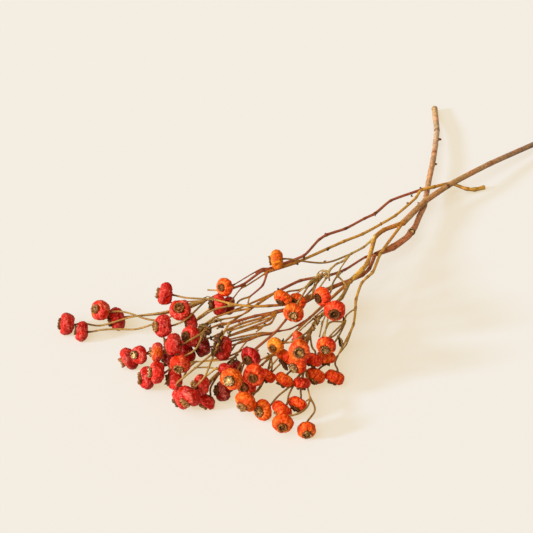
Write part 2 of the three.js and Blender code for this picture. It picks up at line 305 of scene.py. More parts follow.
# %% [markdown]
# ## The wood
#
# A rose stem is never a straight rod: it kinks a little at each node, where a leaf
# grew, and forks into thinner and thinner twigs. Each length of wood is a row of
# points from its root to its tip, in millimetres, with its thickness at each point.
# The rows follow those of the solids, with a few points moved by a millimetre or
# two. Old wood is tan, sunny shoots are maroon, and young twigs golden or olive. A
# name such as grey>tan lets the colour change from the root to the tip.
#
# A stem also carries the fine stalks of its hips. They are listed by the point of
# the wood where they start, and by the number of the hip where they end.

# %% Rows of the tall stem
ORIGIN = Vector((1.77, -0.874, -0.1455))  # of the rows, from the middle of the table under the spray
WOOD = {}
STALKS = {}

WOOD["tall_stem"] = [
    ("cut>grey>tan>tan>ruddy>russet", [
        (173, 57, 3, 5.2), (142.5, 34.5, 6, 4.8), (121.5, 22, 7, 4.7), (102, 11, 8, 4.6),
        (72, -4.5, 8, 4.5), (45, -19, 8, 4.4), (31, -24, 9, 4.4), (18, -29, 9, 4.2), (10, -31, 10, 5.6),
        (2, -33, 11, 4.5), (-17, -33, 13, 5.3), (-35, -30, 16, 3.4)]),
    ("maroon", [
        (-35, -30, 16, 2.2), (-43, -27, 17, 1.8), (-68, -27, 21, 1.9), (-81, -24, 23, 2),
        (-104, -15, 28, 2.1), (-128, -12, 31, 2.1)]),
    ("brown", [(-128, -12, 31, 1.8), (-161, -7, 36, 1.4), (-177, 0, 35, 1.3)]),
    ("brown", [(-128, -12, 31, 1.8), (-168, -11, 34, 1.3), (-182, -7, 33, 1.2)]),
    ("russet", [
        (-35, -30, 16, 2.8), (-52, -37, 17, 2.6), (-62, -38, 18, 2.7), (-88, -31, 20, 3.1),
        (-94, -30, 21, 3), (-127, -29, 27, 2.8), (-142, -24, 30, 2.8)]),
    ("brown>brown>golden", [
        (-88, -31, 20, 1.8), (-97, -29, 22, 1.8), (-130, -27, 31, 2), (-145, -21, 36, 2),
        (-156, -14, 39, 1.9), (-165, -4, 42, 1.6), (-170, 5, 44, 1.5)]),
    ("russet", [(-142, -24, 30, 2.2), (-157, -19, 34, 2), (-178, -15, 40, 2)]),
    ("brown", [(-178, -15, 40, 1.6), (-183, -13, 42, 1.6), (-198, -11, 45, 1.5)]),
    ("golden", [(-178, -15, 40, 1.6), (-192, -21, 42, 1.6), (-204, -26, 41, 1.7)]),
    ("brown", [
        (-142, -24, 30, 1.8), (-154, -23, 33, 1.7), (-171, -18, 36, 1.6), (-178, -16, 36, 1.6),
        (-190, -11, 34, 1.3)]),
    ("brown", [(-142, -24, 30, 1.8), (-150, -26, 30, 1.7), (-178, -14, 28, 1.4)]),
    ("russet", [
        (-127, -29, 27, 1.8), (-142, -33, 28, 1.7), (-156, -36, 29, 1.8), (-178, -35, 27, 2),
        (-183, -33, 22, 1.6)]),
]
STALKS["tall_stem"] = [
    ((-170, 5, 44), {5: [(-180, 23, 42)]}),
    ((-156, -14, 39), {8: [(-160, -9, 40), (-166, -5, 41), (-175, 2, 40), (-179, 5, 37)]}),
    ((-177, 0, 35), {
        9: [(-191, 4, 27), (-206, 13, 17)], 10: [(-190, 5, 28), (-204, 13, 22), (-214, 23, 19)],
        11: [(-188, 4, 31)], 13: [(-204, 7, 14), (-219, 8, 9)]}),
    ((-198, -11, 45), {14: [(-206, -11, 45), (-211, -9, 45)], 15: [(-207, -15, 43), (-212, -16, 41)]}),
    ((-190, -11, 34), {17: [(-195, -9, 34)]}),
    ((-204, -26, 41), {
        31: [(-218, -32, 38), (-221, -32, 34), (-223, -29, 29)],
        32: [(-221, -26, 40), (-228, -21, 33), (-228, -13, 20), (-221, -14, 14)]}),
    ((-183, -33, 22), {34: [], 35: [(-193, -36, 25)], 38: [(-186, -39, 17)]}),
    ((-178, -35, 27), {40: [(-175, -38, 28)]}),
]
print("tall stem:", len(WOOD["tall_stem"]), "lengths of wood")


# %% [markdown]
# The side stem is the longest. Its twigs run low through the middle of the pile and
# down its near edge, where most of the firm orange hips hang.

# %% Rows of the side stem
WOOD["side_stem"] = [
    ("earth>earth>fawn>fawn", [
        (230, -51, 3, 4.4), (121, -30, 12, 4.4), (72, -23, 15, 4.5), (43, -20, 14, 4.5),
        (8, -24, 16, 4.7)]),
    ("brown", [(8, -24, 16, 3.9), (-11, -20, 19, 3.3), (-25, -22, 22, 3.5)]),
    ("straw", [(-25, -22, 22, 2.1), (-42, -24, 24, 1.8), (-56, -23, 26, 1.8)]),
    ("straw", [(-56, -23, 26, 1.6), (-69, -25, 28, 1.6), (-74, -24, 29, 1.5), (-93, -27, 32, 2.2)]),
    ("olive", [(-56, -23, 26, 1.2), (-78, -30, 30, 1.1), (-85, -33, 30, 1.5)]),
    ("brown>golden>golden", [
        (-25, -22, 22, 3.2), (-55, -37, 24, 3.3), (-64, -39, 25, 3.4), (-80, -40, 25, 3.5)]),
    ("brown", [(-80, -40, 25, 2.6), (-125, -40, 22, 1.8), (-153, -42, 22, 1.5), (-169, -43, 20, 1.3)]),
    ("olive", [(-80, -40, 25, 2.8), (-97, -46, 25, 2.7), (-123, -46, 24, 2.6), (-131, -48, 25, 2.4)]),
    ("olive", [(-131, -48, 25, 1.9), (-138, -51, 23, 1.6), (-144, -53, 20, 1.5), (-157, -62, 14, 1.3)]),
    ("olive", [(-157, -62, 14, 1.3), (-163, -69, 14, 1.3), (-167, -72, 11, 1.2), (-174, -80, 10, 1.3)]),
    ("brown", [(-174, -80, 10, 1.2), (-177, -79, 9, 1)]),
    ("russet", [(-125, -40, 22, 1.5), (-144, -39, 25, 1.3), (-152, -36, 27, 1.3), (-163, -30, 28, 1.3)]),
    ("brown", [(-163, -30, 28, 1.3), (-171, -26, 28, 1.2), (-186, -26, 22, 1.2)]),
    ("golden", [(-186, -26, 22, 1.2), (-190, -22, 20, 1.1), (-204, -8, 20, 1.1)]),
    ("golden", [(-186, -26, 22, 1.2), (-199, -26, 20, 1.1)]),
    ("brown>golden>golden>golden", [
        (8, -24, 16, 2.4), (-36, -35, 20, 2.3), (-55, -42, 18, 2.1), (-61, -42, 18, 2), (-68, -42, 17, 2),
        (-84, -49, 16, 2.1), (-91, -54, 16, 1.9), (-104, -62, 14, 1.8), (-131, -69, 8, 1.3)]),
    ("olive", [(-104, -62, 14, 1.2), (-118, -67, 9, 1.1), (-135, -68, 6, 1.1)]),
    ("olive", [(-91, -54, 16, 1.2), (-104, -55, 18, 1.2), (-110, -59, 18, 1.3)]),
    ("olive", [(-93, -27, 32, 1.2), (-105, -29, 36, 1.1), (-127, -43, 45, 1.1)]),
]
STALKS["side_stem"] = [
    ((-204, -8, 20), {12: [(-218, 1, 20)], 16: [(-212, -7, 18)]}),
    ((-163, -30, 28), {18: [(-184, -11, 23)]}),
    ((-171, -26, 28), {19: [(-183, -23, 29)]}),
    ((-56, -23, 26), {24: [(-82, -19, 32)]}),
    ((-93, -27, 32), {
        25: [(-108, -27, 35), (-122, -29, 39)], 26: [(-108, -29, 38), (-131, -38, 45)], 27: []}),
    ((-85, -33, 30), {28: [(-97, -38, 34)], 29: [(-96, -49, 36), (-107, -55, 40)]}),
    ((-199, -26, 20), {30: [(-207, -26, 20)], 33: [(-209, -24, 8)]}),
    ((-186, -26, 22), {36: [(-191, -28, 23)]}),
    ((-169, -43, 20), {37: [], 39: [(-173, -47, 19)], 41: [(-176, -45, 11), (-194, -52, 13)]}),
    ((-157, -62, 14), {42: [(-175, -64, 11), (-186, -62, 9)], 43: [(-182, -68, 10)]}),
    ((-174, -80, 10), {44: [(-182, -84, 11), (-193, -84, 13)]}),
    ((-157, -62, 14), {45: [(-173, -71, 9)]}),
    ((-174, -80, 10), {46: [(-178, -88, 8)]}),
    ((-157, -62, 14), {47: [(-164, -60, 15)], 48: [(-163, -65, 14)]}),
    ((-135, -68, 6), {49: []}),
    ((-131, -69, 8), {50: [(-137, -71, 7)]}),
    ((-110, -59, 18), {51: [(-132, -66, 26)], 52: [(-119, -62, 17), (-131, -65, 17)]}),
    ((-131, -48, 25), {53: [(-142, -54, 30)]}),
    ((-144, -53, 20), {54: [(-154, -59, 24)]}),
    ((-138, -51, 23), {55: [(-150, -51, 21)], 56: [(-146, -59, 21)]}),
    ((-131, -48, 25), {57: [(-146, -54, 32), (-157, -56, 36), (-163, -54, 35)], 20: [(-139, -51, 27)]}),
]
print("side stem:", len(WOOD["side_stem"]), "lengths of wood")


# %% [markdown]
# The short stem is thin, and soon forks into a maroon and a golden branch. They run
# over the pile to its far side, where six hips hang from one fork.

# %% Rows of the short stem
WOOD["short_stem"] = [
    ("golden>golden>brown>golden", [
        (103, -37, 2, 3.4), (95, -34, 3, 3.3), (89, -30, 5, 3), (81, -19, 10, 2.4), (65, -14, 13, 2.7),
        (54, -9, 14, 2.8)]),
    ("maroon", [
        (54, -9, 14, 2.3), (23, -2, 18, 2.1), (0, -4, 20, 2.3), (-12, -3, 22, 2), (-33, -1, 24, 2.1),
        (-51, 3, 27, 2.2), (-60, 3, 28, 2), (-85, -3, 32, 2), (-105, 3, 33, 2), (-114, 4, 35, 2.1)]),
    ("golden>golden>brown", [
        (54, -9, 14, 2.3), (43, -12, 14, 2.2), (11, -15, 17, 2.1), (-28, -13, 22, 2.2),
        (-46, -9, 24, 2.2), (-93, -2, 30, 2.1), (-118, 3, 35, 2.1)]),
    ("maroon", [(-114, 4, 35, 1.4), (-120, 6, 38, 1.2), (-147, 8, 40, 1)]),
    ("maroon", [
        (-114, 4, 35, 2.1), (-121, 5, 37, 1.9), (-142, 5, 38, 1.8), (-149, 8, 38, 1.7),
        (-155, 13, 35, 1.6), (-168, 15, 36, 1.5)]),
    ("brown", [(-168, 15, 36, 1.2), (-182, 35, 32, 1)]),
    ("brown", [(-118, 3, 35, 1.4), (-140, 4, 36, 1.2), (-143, 5, 36, 1.1), (-154, 3, 35, 1.1)]),
    ("maroon", [(-118, 3, 35, 1.9), (-130, -3, 34, 1.6), (-144, -3, 33, 1.3)]),
    ("brown", [(-144, -3, 33, 1.2), (-148, -5, 31, 1.1)]),
]
STALKS["short_stem"] = [
    ((-168, 15, 36), {
        1: [(-176, 23, 34), (-186, 32, 29), (-199, 58, 17), (-210, 69, 12), (-212, 77, 7), (-214, 93, 2)],
        2: [(-177, 20, 33), (-197, 39, 20), (-203, 49, 14), (-207, 61, 10), (-215, 71, 9)],
        3: [(-195, 35, 25), (-200, 58, 22), (-203, 66, 21)],
        4: [(-176, 22, 34), (-185, 32, 27), (-192, 45, 22), (-196, 64, 12)], 6: [(-173, 19, 35)],
        7: [(-187, 11, 38), (-192, 11, 37), (-195, 14, 35)]}),
    ((-147, 8, 40), {21: []}),
    ((-154, 3, 35), {22: []}),
    ((-144, -3, 33), {23: [(-150, 3, 30)]}),
]
print("short stem:", len(WOOD["short_stem"]), "lengths of wood")


# %% [markdown]
# Some twigs have lost their hips and lie loose among the others. The solids leave
# them out, so this piece stands for no node. The first three rows are the curls of
# a dry tendril. Old wood also has dark rings where leaves grew: each is one point.

# %% Rows of the bare twigs, and rings
WOOD["bare_twigs"] = [
    ("stalk>straw", [
        (-99, -25, 33, 0.6), (-96, -24, 35, 0.7), (-94, -26, 37, 0.8), (-93, -30, 38, 0.8),
        (-94, -33, 37, 0.7), (-97, -33, 36, 0.6), (-97, -29, 35, 0.5)]),
    ("olive>stalk>scorched", [
        (-100, -29, 34, 0.6), (-97, -27, 36, 0.7), (-93, -28, 37, 0.7), (-94, -32, 37, 0.8),
        (-97, -35, 34, 1)]),
    ("stalk", [(-101, -24, 33, 0.6), (-98, -26, 35, 0.7), (-95, -29, 36, 0.8), (-96, -33, 35, 0.8)]),
    ("brown", [(-156, -14, 37, 1.3), (-161, -10, 37, 1.2), (-168, -7, 38, 1.1), (-179, -2, 38, 1)]),
    ("brown", [(-147, -13, 35, 1.2), (-158, -14, 36, 1.1), (-167, -13, 37, 1.1), (-183, -5, 40, 1)]),
    ("golden", [(-148, -26, 31, 1.1), (-157, -23, 32, 1.2), (-171, -19, 34, 1.2), (-180, -16, 35, 1.2)]),
    ("brown", [(-144, -26, 30, 1.2), (-150, -27, 27, 1.2), (-160, -23, 28, 1.2), (-181, -16, 31, 1.3)]),
    ("olive", [(-154, -25, 28, 1.2), (-158, -25, 27, 1), (-162, -24, 26, 0.8)]),
    ("brown", [(-155, -34, 26, 1.2), (-161, -28, 27, 1.2), (-173, -21, 28, 1.1), (-181, -16, 28, 1)]),
    ("russet", [(-157, -33, 26, 1.3), (-163, -29, 27, 1.3), (-172, -27, 28, 1.2), (-184, -20, 27, 1)]),
    ("brown", [(-176, -28, 25, 1.2), (-180, -25, 22, 1.1), (-187, -21, 20, 1.1), (-201, -9, 18, 1)]),
    ("olive", [(-183, -26, 22, 1.2), (-191, -24, 19, 1)]),
    ("olive", [(-198, -24, 18, 1.1), (-200, -16, 17, 1), (-206, -8, 16, 0.9)]),
    ("golden", [(-197, -25, 19, 1.2), (-204, -24, 17, 1.1), (-215, -22, 12, 1)]),
    ("russet", [(-200, -26, 18, 1.1), (-205, -24, 15, 1), (-209, -22, 11, 1)]),
    ("golden", [(-198, -21, 18, 1.1), (-207, -18, 14, 1)]),
    ("golden", [(-163, -43, 20, 1.2), (-169, -41, 20, 1.1), (-175, -38, 18, 1)]),
    ("golden", [(-165, -45, 20, 1.1), (-168, -41, 19, 1), (-176, -41, 16, 1)]),
    ("golden", [(-166, -47, 20, 1.1), (-174, -46, 16, 1), (-177, -45, 13, 1)]),
    ("brown", [(-166, -50, 18, 1.1), (-175, -48, 13, 1)]),
    ("golden", [(-183, -49, 13, 1.1), (-197, -50, 9, 1)]),
    ("straw", [(-96, -26, 34, 1.1), (-105, -26, 36, 1), (-116, -29, 38, 1), (-132, -30, 40, 0.9)]),
    ("olive", [(-99, -26, 34, 1.1), (-108, -32, 36, 1), (-124, -40, 39, 0.8)]),
    ("straw", [(-86, -27, 32, 1.2), (-96, -31, 33, 1.1), (-111, -35, 34, 1)]),
    ("olive", [(-109, -58, 18, 1.1), (-119, -53, 22, 1), (-129, -56, 21, 1), (-136, -58, 19, 0.9)]),
    ("olive", [(-108, -58, 18, 1.1), (-127, -60, 20, 1), (-132, -60, 18, 1)]),
    ("russet", [(-113, -42, 22, 0.9), (-124, -44, 25, 0.9), (-138, -46, 27, 0.9)]),
    ("straw", [(-120, -46, 26, 0.9), (-130, -51, 28, 0.9), (-142, -53, 28, 0.9)]),
    ("olive", [(-118, -48, 24, 0.9), (-128, -53, 25, 0.9), (-137, -58, 24, 0.9)]),
    ("straw", [(-116, -49, 23, 0.9), (-126, -55, 22, 0.9), (-136, -61, 20, 0.9)]),
    ("olive", [(-122, -45, 25, 0.9), (-134, -47, 29, 0.9), (-146, -48, 30, 0.9)]),
    ("brown", [(-168, 15, 36, 1.1), (-176, 17, 36, 1), (-184, 18, 36, 0.9)]),
    ("straw", [(-156, 13, 38, 1.1), (-162, 19, 39, 1)]),
    ("golden", [(-176, 5, 39, 1.1), (-185, 5, 39, 1), (-188, 5, 39, 0.9)]),
    ("olive", [(-181, -5, 38, 1.2), (-188, -4, 39, 1), (-196, -5, 40, 0.9)]),
]
STALKS["bare_twigs"] = []
RINGS = [
    (140.5, 34, 6), (110, 15.5, 8), (122, -29, 12), (70, -23, 15), (-62, -7, 26), (-33, -1, 24),
    (0, -4, 20),
]
print("bare twigs:", len(WOOD["bare_twigs"]), "and rings:", len(RINGS))


# %% [markdown]
# A row turns into many close points. Those between the row's own ones lie on a
# centripetal curve, which bends without overshooting, and then move some of the way
# to the straight line, because wood is straight between its nodes. Knots swell the
# wood a little at each node. Last, a few rounds of averaging ease the corners, and
# many rounds make the fine stalks hang in smooth bows.

# %% Smooth routes with swollen nodes
SAMPLE_STEP = 1.2 * MM
ROOT_DEPTH = 0.8 * MM  # a twig starts this far inside the wood that it grows from
NODE_SWELLING = 0.2
OLD_NODE_SWELLING = 0.3 * NODE_SWELLING
NODE_LENGTH = 1.3 * MM
STRAIGHTNESS = 0.55  # of the wood between its nodes, from the curve towards the straight line
OLD_WOOD = 3.8 * MM  # thicker wood has all but outgrown its nodes
WOOD_EASING = 3  # rounds that ease the corners
STALK_EASING = 14
LEAST_GAP = 1e-3  # keeps two equal points from dividing by zero


def to_scene(point):
    """A row's point in millimetres as a place in the scene."""
    return (Vector(point[:3]) + ORIGIN) * MM


def centripetal(points):
    """The four Bezier points of each stretch of a centripetal curve through points."""
    line = [points[0] * 2 - points[1], *points, points[-1] * 2 - points[-2]]
    for before, start, end, after in zip(line, line[1:], line[2:], line[3:]):
        pairs = ((before, start), (start, end), (end, after))
        gaps = [math.sqrt((b - a).length) or LEAST_GAP for a, b in pairs]
        leave = (start - before) / gaps[0] - (end - before) / (gaps[0] + gaps[1]) + (end - start) / gaps[1]
        arrive = (end - start) / gaps[1] - (after - start) / (gaps[1] + gaps[2]) + (after - end) / gaps[2]
        yield start, start + leave * gaps[1] / 3, end - arrive * gaps[1] / 3, end


def bezier(points, t):
    """The point at a share t of a Bezier stretch."""
    a, b, c, d = points
    u = 1 - t
    return a * u ** 3 + b * 3 * u * u * t + c * 3 * u * t * t + d * t ** 3


def sampled(points, thicknesses, nodes=True):
    """Points along a route with their radius, how near they are to a node, and how far along."""
    samples = []
    travelled = 0.0
    straighter = STRAIGHTNESS if nodes else 0
    for index, stretch in enumerate(centripetal(points)):
        length = (stretch[3] - stretch[0]).length
        count = max(2, round(length / SAMPLE_STEP))
        swelling = NODE_SWELLING if thicknesses[index] < OLD_WOOD else OLD_NODE_SWELLING
        for k in range(count + (index == len(points) - 2)):
            t = k / count
            to_node = min(t if index or nodes else 1, 1 - t) * length
            knot = bell(to_node, NODE_LENGTH) if nodes else 0
            radius = (thicknesses[index] * (1 - t) + thicknesses[index + 1] * t) / 2
            place = bezier(stretch, t).lerp(stretch[0].lerp(stretch[3], t), straighter)
            samples.append([place, radius * (1 + swelling * knot), knot, travelled + t * length])
        travelled += length
    for _ in range(WOOD_EASING if nodes else STALK_EASING):
        eased = [(a[0] + c[0]) * 0.25 + b[0] * 0.5 for a, b, c in zip(samples, samples[1:], samples[2:])]
        for sample, place in zip(samples[1:], eased[:-1]):
            sample[0] = place
    return samples


test_row = [to_scene(point) for point in WOOD["tall_stem"][0][1]]
print("samples along the tall stem:", len(sampled(test_row, [OLD_WOOD] * len(test_row))))


# %% [markdown]
# ## Where the hips are
#
# Each hip's solid in the frame tells its place: the middle of its vertices, its
# thin axis, which runs from the stalk to the dried flower, its width and its
# thickness. The flower end is the one where the solid has two flat rings.

# %% Places of the hips
FLAT_RING = 0.97  # of the half thickness: the vertices of a flat ring lie beyond it
DIMPLE_FLOOR = 0.83  # of the half thickness, below the middle
SAME_VERTEX = 7  # decimals of a metre that tell two vertices apart


class Place:
    """Where one hip lies: its centre, its axis towards the flower end, and its size."""

    def __init__(self, hip):
        vertices = frame["nodes"][hip].data.vertices
        corners = {tuple(round(value, SAME_VERTEX) for value in vertex.co) for vertex in vertices}
        points = np.array(sorted(corners))
        centred = points - points.mean(axis=0)
        directions = np.linalg.eigh(centred.T @ centred)[1].T
        axis = min(directions, key=lambda direction: np.ptp(centred @ direction))
        heights = centred @ axis
        middle = (heights.max() + heights.min()) / 2
        heights -= middle
        half = heights.max()
        if (heights > half * FLAT_RING).sum() < (heights < -half * FLAT_RING).sum():
            axis, middle = -axis, -middle
        self.axis = Vector(axis)
        self.centre = Vector(points.mean(axis=0) + axis * middle)
        around = centred - np.outer(centred @ axis, axis)
        self.half_width = float(np.linalg.norm(around, axis=1).max())
        self.half_thickness = float(half)
        self.turn = self.axis.to_track_quat("Z", "Y").to_matrix().to_4x4()

    def dimple(self):
        """Where the stalk's end meets the floor of the dimple."""
        return self.centre - self.axis * self.half_thickness * DIMPLE_FLOOR


hips = {int(name.removeprefix("hip_")): Place(name) for name in frame["nodes"] if name.startswith("hip_")}
print("hips:", len(hips), "widths in mm:", sorted({round(2 * p.half_width / MM) for p in hips.values()}))


# %% [markdown]
# ## Bark
#
# A curve object makes the rows round: Blender sweeps a circle along a poly spline
# and scales it by each point's radius. A stalk is drawn from its wood to the dimple
# of its hip, and thickens there into a foot.

# %% Sweep the lengths of one stem
SWEEP_SIDES = 5  # half of a circle's sides, in the curve's own counting
BARE_FULLNESS = 1.25  # a bare twig's loose bark makes it thicker than its row says
STALK_THICKNESS = 1.45 * MM
STALK_FOOT = 1.9 * MM
STALK_REACH = 2.6 * MM  # the stalk runs straight into the hip from here


def stem_lengths(stem):
    """Every length of wood and stalk of a stem: its colour, its samples and whether it is a stalk."""
    fullness = BARE_FULLNESS if stem == "bare_twigs" else 1
    for colour, row in WOOD[stem]:
        points = [to_scene(point) for point in row]
        points[0] -= (points[1] - points[0]).normalized() * ROOT_DEPTH
        yield colour, sampled(points, [point[3] * fullness * MM for point in row]), False
    for root, stalks in STALKS[stem]:
        for number, row in stalks.items():
            place = hips[number]
            points = [to_scene(point) for point in (root, *row)]
            points += [place.dimple() - place.axis * STALK_REACH, place.dimple()]
            points[0] -= (points[1] - points[0]).normalized() * ROOT_DEPTH
            thicknesses = [STALK_THICKNESS] * (len(points) - 1) + [STALK_FOOT]
            yield "stalk", sampled(points, thicknesses, nodes=False), True


def swept(name, lengths):
    """Round tubes along all lengths, as one mesh."""
    curve = bpy.data.curves.new(name, "CURVE")
    curve.dimensions = "3D"
    curve.bevel_depth = 1.0
    curve.bevel_resolution = SWEEP_SIDES - 1
    curve.use_fill_caps = True
    for _, samples, _ in lengths:
        spline = curve.splines.new("POLY")
        spline.points.add(len(samples) - 1)
        for point, (place, radius, _, _) in zip(spline.points, samples):
            point.co = (*place, 1)
            point.radius = radius
    return evaluated(name, curve)


print("lengths of each stem:", {stem: len(list(stem_lengths(stem))) for stem in WOOD})


# %% [markdown]
# All lengths of one stem are joined and remeshed into a single skin, so that a fork
# is one rounded crotch instead of crossed rods. The even stretches are then thinned
# out. The remesh forgets which twig a vertex came from, so each vertex looks up the
# nearest sample of the routes, and takes its colour and its distance along and
# around the twig from there. Dark are the nodes, the rings where leaves grew, and
# the last stretch of a stalk before its hip.

# %% Look up the wood under each vertex
BARK = palette(
    cut=(226, 186, 128), tan=(232, 180, 132), grey=(232, 200, 166), earth=(186, 148, 116),
    fawn=(216, 168, 112), russet=(212, 126, 78), ruddy=(224, 150, 108), maroon=(200, 110, 78),
    brown=(226, 158, 70), golden=(252, 196, 92), straw=(248, 216, 136), olive=(218, 174, 84),
    stalk=(188, 146, 76), scorched=(104, 62, 30),
)
SCORCH = 7 * MM  # the stalk's end by the hip is dark over this length
RING_LENGTH = 1.5 * MM
NODE_DARK = 0.45  # how scorched a node looks
OLD_NODE_DARK = 0.25
LENGTHS_APART = 0.37  # metres in the noise, so that no two lengths have the same streaks


def wood_samples(lengths):
    """All samples of the lengths, as rows, with a tree that finds the nearest."""
    rows = []
    rings = [to_scene(ring) for ring in RINGS]
    for index, (colour, samples, is_stalk) in enumerate(lengths):
        total = samples[-1][3]
        for order, (place, radius, knot, along) in enumerate(samples):
            beyond = samples[min(order + 1, len(samples) - 1)][0] - samples[max(order - 1, 0)][0]
            scorch = between(1 - (total - along) / SCORCH) if is_stalk else 0.0
            knot *= NODE_DARK if radius * 2 < OLD_WOOD else OLD_NODE_DARK
            knot = max(knot, *(bell((place - ring).length, RING_LENGTH) for ring in rings))
            in_noise = along + index * LENGTHS_APART
            rows.append((place, beyond.normalized(), radius, knot, in_noise, colour, along / total, scorch))
    return rows, placed_tree([row[0] for row in rows])


def along_colours(names, share):
    """The colour at a share of a length whose colours are written root>tip."""
    colours = [BARK[name] for name in names.split(">")]
    if len(colours) == 1:
        return colours[0]
    spot = share * (len(colours) - 1)
    index = min(int(spot), len(colours) - 2)
    return colours[index].lerp(colours[index + 1], spot - index)


print("half way from grey to tan:", [round(value, 2) for value in along_colours("grey>tan", 0.5)])


# %% [markdown]
# Bark has fine ridges along the grain. They are pressed into the mesh itself, a few
# hundredths of the radius deep, and stored as well, because their valleys are
# darker. The bark also wanders between light and dark and reddens in patches, and
# its side that faces down is painted darker, as painted shade.

# %% Press the bark's ridges and paint it
RIDGE_DEPTH = 0.035  # of the radius
RIDGE_TURN = 1.6  # how much noise there is round the wood
RIDGE_LENGTH = 4 * MM  # and along it
RIDGE_NOISE = (1.3, 2.9, 0.5)  # scale of the coarse and of the fine noise, share of the fine
WANDER_LENGTH = 9 * MM  # of lighter and darker stretches
WANDER_START = 0.3  # where in the noise they are read
FLECK_LENGTH = 3 * MM  # of lighter and darker flecks
FLECK_SHARE = 0.5
WANDER_SHARE = 0.3
BARK_LIGHTNESS = 1.16
SCORCH_DARK = 0.85
RED_LENGTH = 14 * MM  # of reddened patches
RED_TURN = 0.4
RED_START = 7  # where in the noise they are read
RED_STRENGTH = 2.2
RED_MOST = 0.35  # a patch's share of russet at most
RED_MOST_THIN = 0.2  # on thin wood
THIN_WOOD = 0.6 * OLD_WOOD
# painted shade: the bark that faces down is painted darker, by this share at most
PAINTED_UNDERSIDE_SHADE = 0.38  # how much darker the bark is that faces down
PAINTED_SHADE_STARTS = 0.45  # the upward part of the normal below which it darkens


def finish_bark(mesh, lengths):
    """Stores the bark's attributes and presses its ridges."""
    rows, tree = wood_samples(lengths)
    count = len(mesh.vertices)
    colours = np.ones((count, 4), np.float32)
    ridges = np.zeros(count, np.float32)
    places = np.zeros((count, 3), np.float32)
    for vertex in mesh.vertices:
        place, heading, radius, knot, along, colour, share, scorch = rows[tree.find(vertex.co)[1]]
        offset = vertex.co - place
        along += offset.dot(heading)
        side = heading.orthogonal().normalized()
        angle = math.atan2(offset.dot(heading.cross(side)), offset.dot(side))
        # a place on an unrolled rod: round by the angle, and stretched along it
        ring = Vector((math.cos(angle) * RIDGE_TURN, math.sin(angle) * RIDGE_TURN, along / RIDGE_LENGTH))
        ridge = layered(ring, *RIDGE_NOISE)
        wander = noise.noise(Vector((along / WANDER_LENGTH, WANDER_START, len(lengths))))
        wander += FLECK_SHARE * noise.noise(place / FLECK_LENGTH)
        tone = along_colours(colour, share).lerp(BARK["scorched"], between(knot + SCORCH_DARK * scorch))
        red = RED_STRENGTH * noise.noise(Vector((along / RED_LENGTH, angle * RED_TURN, RED_START)))
        most = RED_MOST if radius * 2 > THIN_WOOD else RED_MOST_THIN
        tone = tone.lerp(BARK["russet"], between(red, high=most))
        # painted shade: the more the bark faces down, the darker it is painted
        under = PAINTED_UNDERSIDE_SHADE * max(0.0, PAINTED_SHADE_STARTS - vertex.normal.z)
        colours[vertex.index] = tone * (BARK_LIGHTNESS + WANDER_SHARE * wander) * (1 - under)
        ridges[vertex.index] = ridge * 0.5 + 0.5  # from 0 to 1, as a colour ramp wants it
        places[vertex.index] = vertex.co + vertex.normal * radius * RIDGE_DEPTH * ridge
    places[:, 2] = places[:, 2].clip(TABLE_GAP)
    mesh.vertices.foreach_set("co", places.ravel())
    mesh.attributes.new("bark", "FLOAT_COLOR", "POINT").data.foreach_set("color", colours.ravel())
    mesh.attributes.new("ridge", "FLOAT", "POINT").data.foreach_set("value", ridges)
    mesh.shade_smooth()
    return mesh


print("a ridge on the thickest shoots stands out by about", round(OLD_WOOD / 2 * RIDGE_DEPTH / MM, 3), "mm")


# %% [markdown]
# The bark material needs little more: the painted colour, streaked by the ridges,
# under the shared mottle. Dry bark is rough and hardly shines. All three stems wear
# the same material under three names, because the record gives each its own slot.

# %% Bark material, and the wood of every stem
BARK_VOXEL = 0.4 * MM
SMOOTHING_ROUNDS = 2
SMOOTHING = 0.5
BARK_FACES_KEPT = 0.62  # the even stretches can do with fewer
STREAKS = [(0.25, screen(180, 168, 156)), (0.75, WHITE)]  # by the height of the ridges
STREAK_SHARE = 0.65
MOTTLE_SCALE = 900.0  # per metre, on bark and skins
BARK_MOTTLE = screen(172, 154, 138)
STEM_SLOTS = {"tall_stem": "tan_bark", "side_stem": "golden_bark", "short_stem": "maroon_bark"}


def bark_material(name):
    """Dry bark: the twig's own colour, streaked along the grain, with a fine bump."""
    material, tree, shader = new_material(name)
    streaks = ramp(tree, attribute(tree, "ridge", "Fac"), STREAKS)
    streaked = mixed(tree, STREAK_SHARE, attribute(tree, "bark"), streaks, "MULTIPLY")
    weathered(tree, shader, streaked, MOTTLE_SCALE, BARK_MOTTLE, share=0.7, depth=0.2 * MM)
    shader.inputs["Roughness"].default_value = 0.55
    shader.inputs["Specular IOR Level"].default_value = 0.12
    return material


def smoothed(mesh):
    """The mesh with the steps of its voxels smoothed away."""
    form = bmesh.new()
    form.from_mesh(mesh)
    for _ in range(SMOOTHING_ROUNDS):
        bmesh.ops.smooth_vert(
            form, verts=form.verts, factor=SMOOTHING, use_axis_x=True, use_axis_y=True, use_axis_z=True)
    form.to_mesh(mesh)
    form.free()
    return mesh


barks = {slot: bark_material(slot) for slot in STEM_SLOTS.values()}
wood = []  # (place, radius) all along every twig and stalk
for stem in WOOD:
    slot = STEM_SLOTS.get(stem, "golden_bark")
    lengths = list(stem_lengths(stem))
    wood += [(place, radius) for _, samples, _ in lengths for place, radius, _, _ in samples]
    tubes = swept(stem + "_sweep", lengths)
    skin = evaluated("remeshed", tubes, "REMESH", mode="VOXEL", voxel_size=BARK_VOXEL)
    skin = evaluated("thinned", smoothed(skin), "DECIMATE", ratio=BARK_FACES_KEPT)
    finish_bark(skin, lengths).materials.append(barks[slot])
    new_piece(stem + "_wood", skin, slot, *([stem] if stem in STEM_SLOTS else []))
    print(stem, "faces:", len(skin.polygons))


# %% [markdown]
# ## The hips
#
# A dried hip is squat, with a dimple where the stalk enters and a flat ring where
# the flower stood. Its outline is spun once into a blank, which every hip copies.

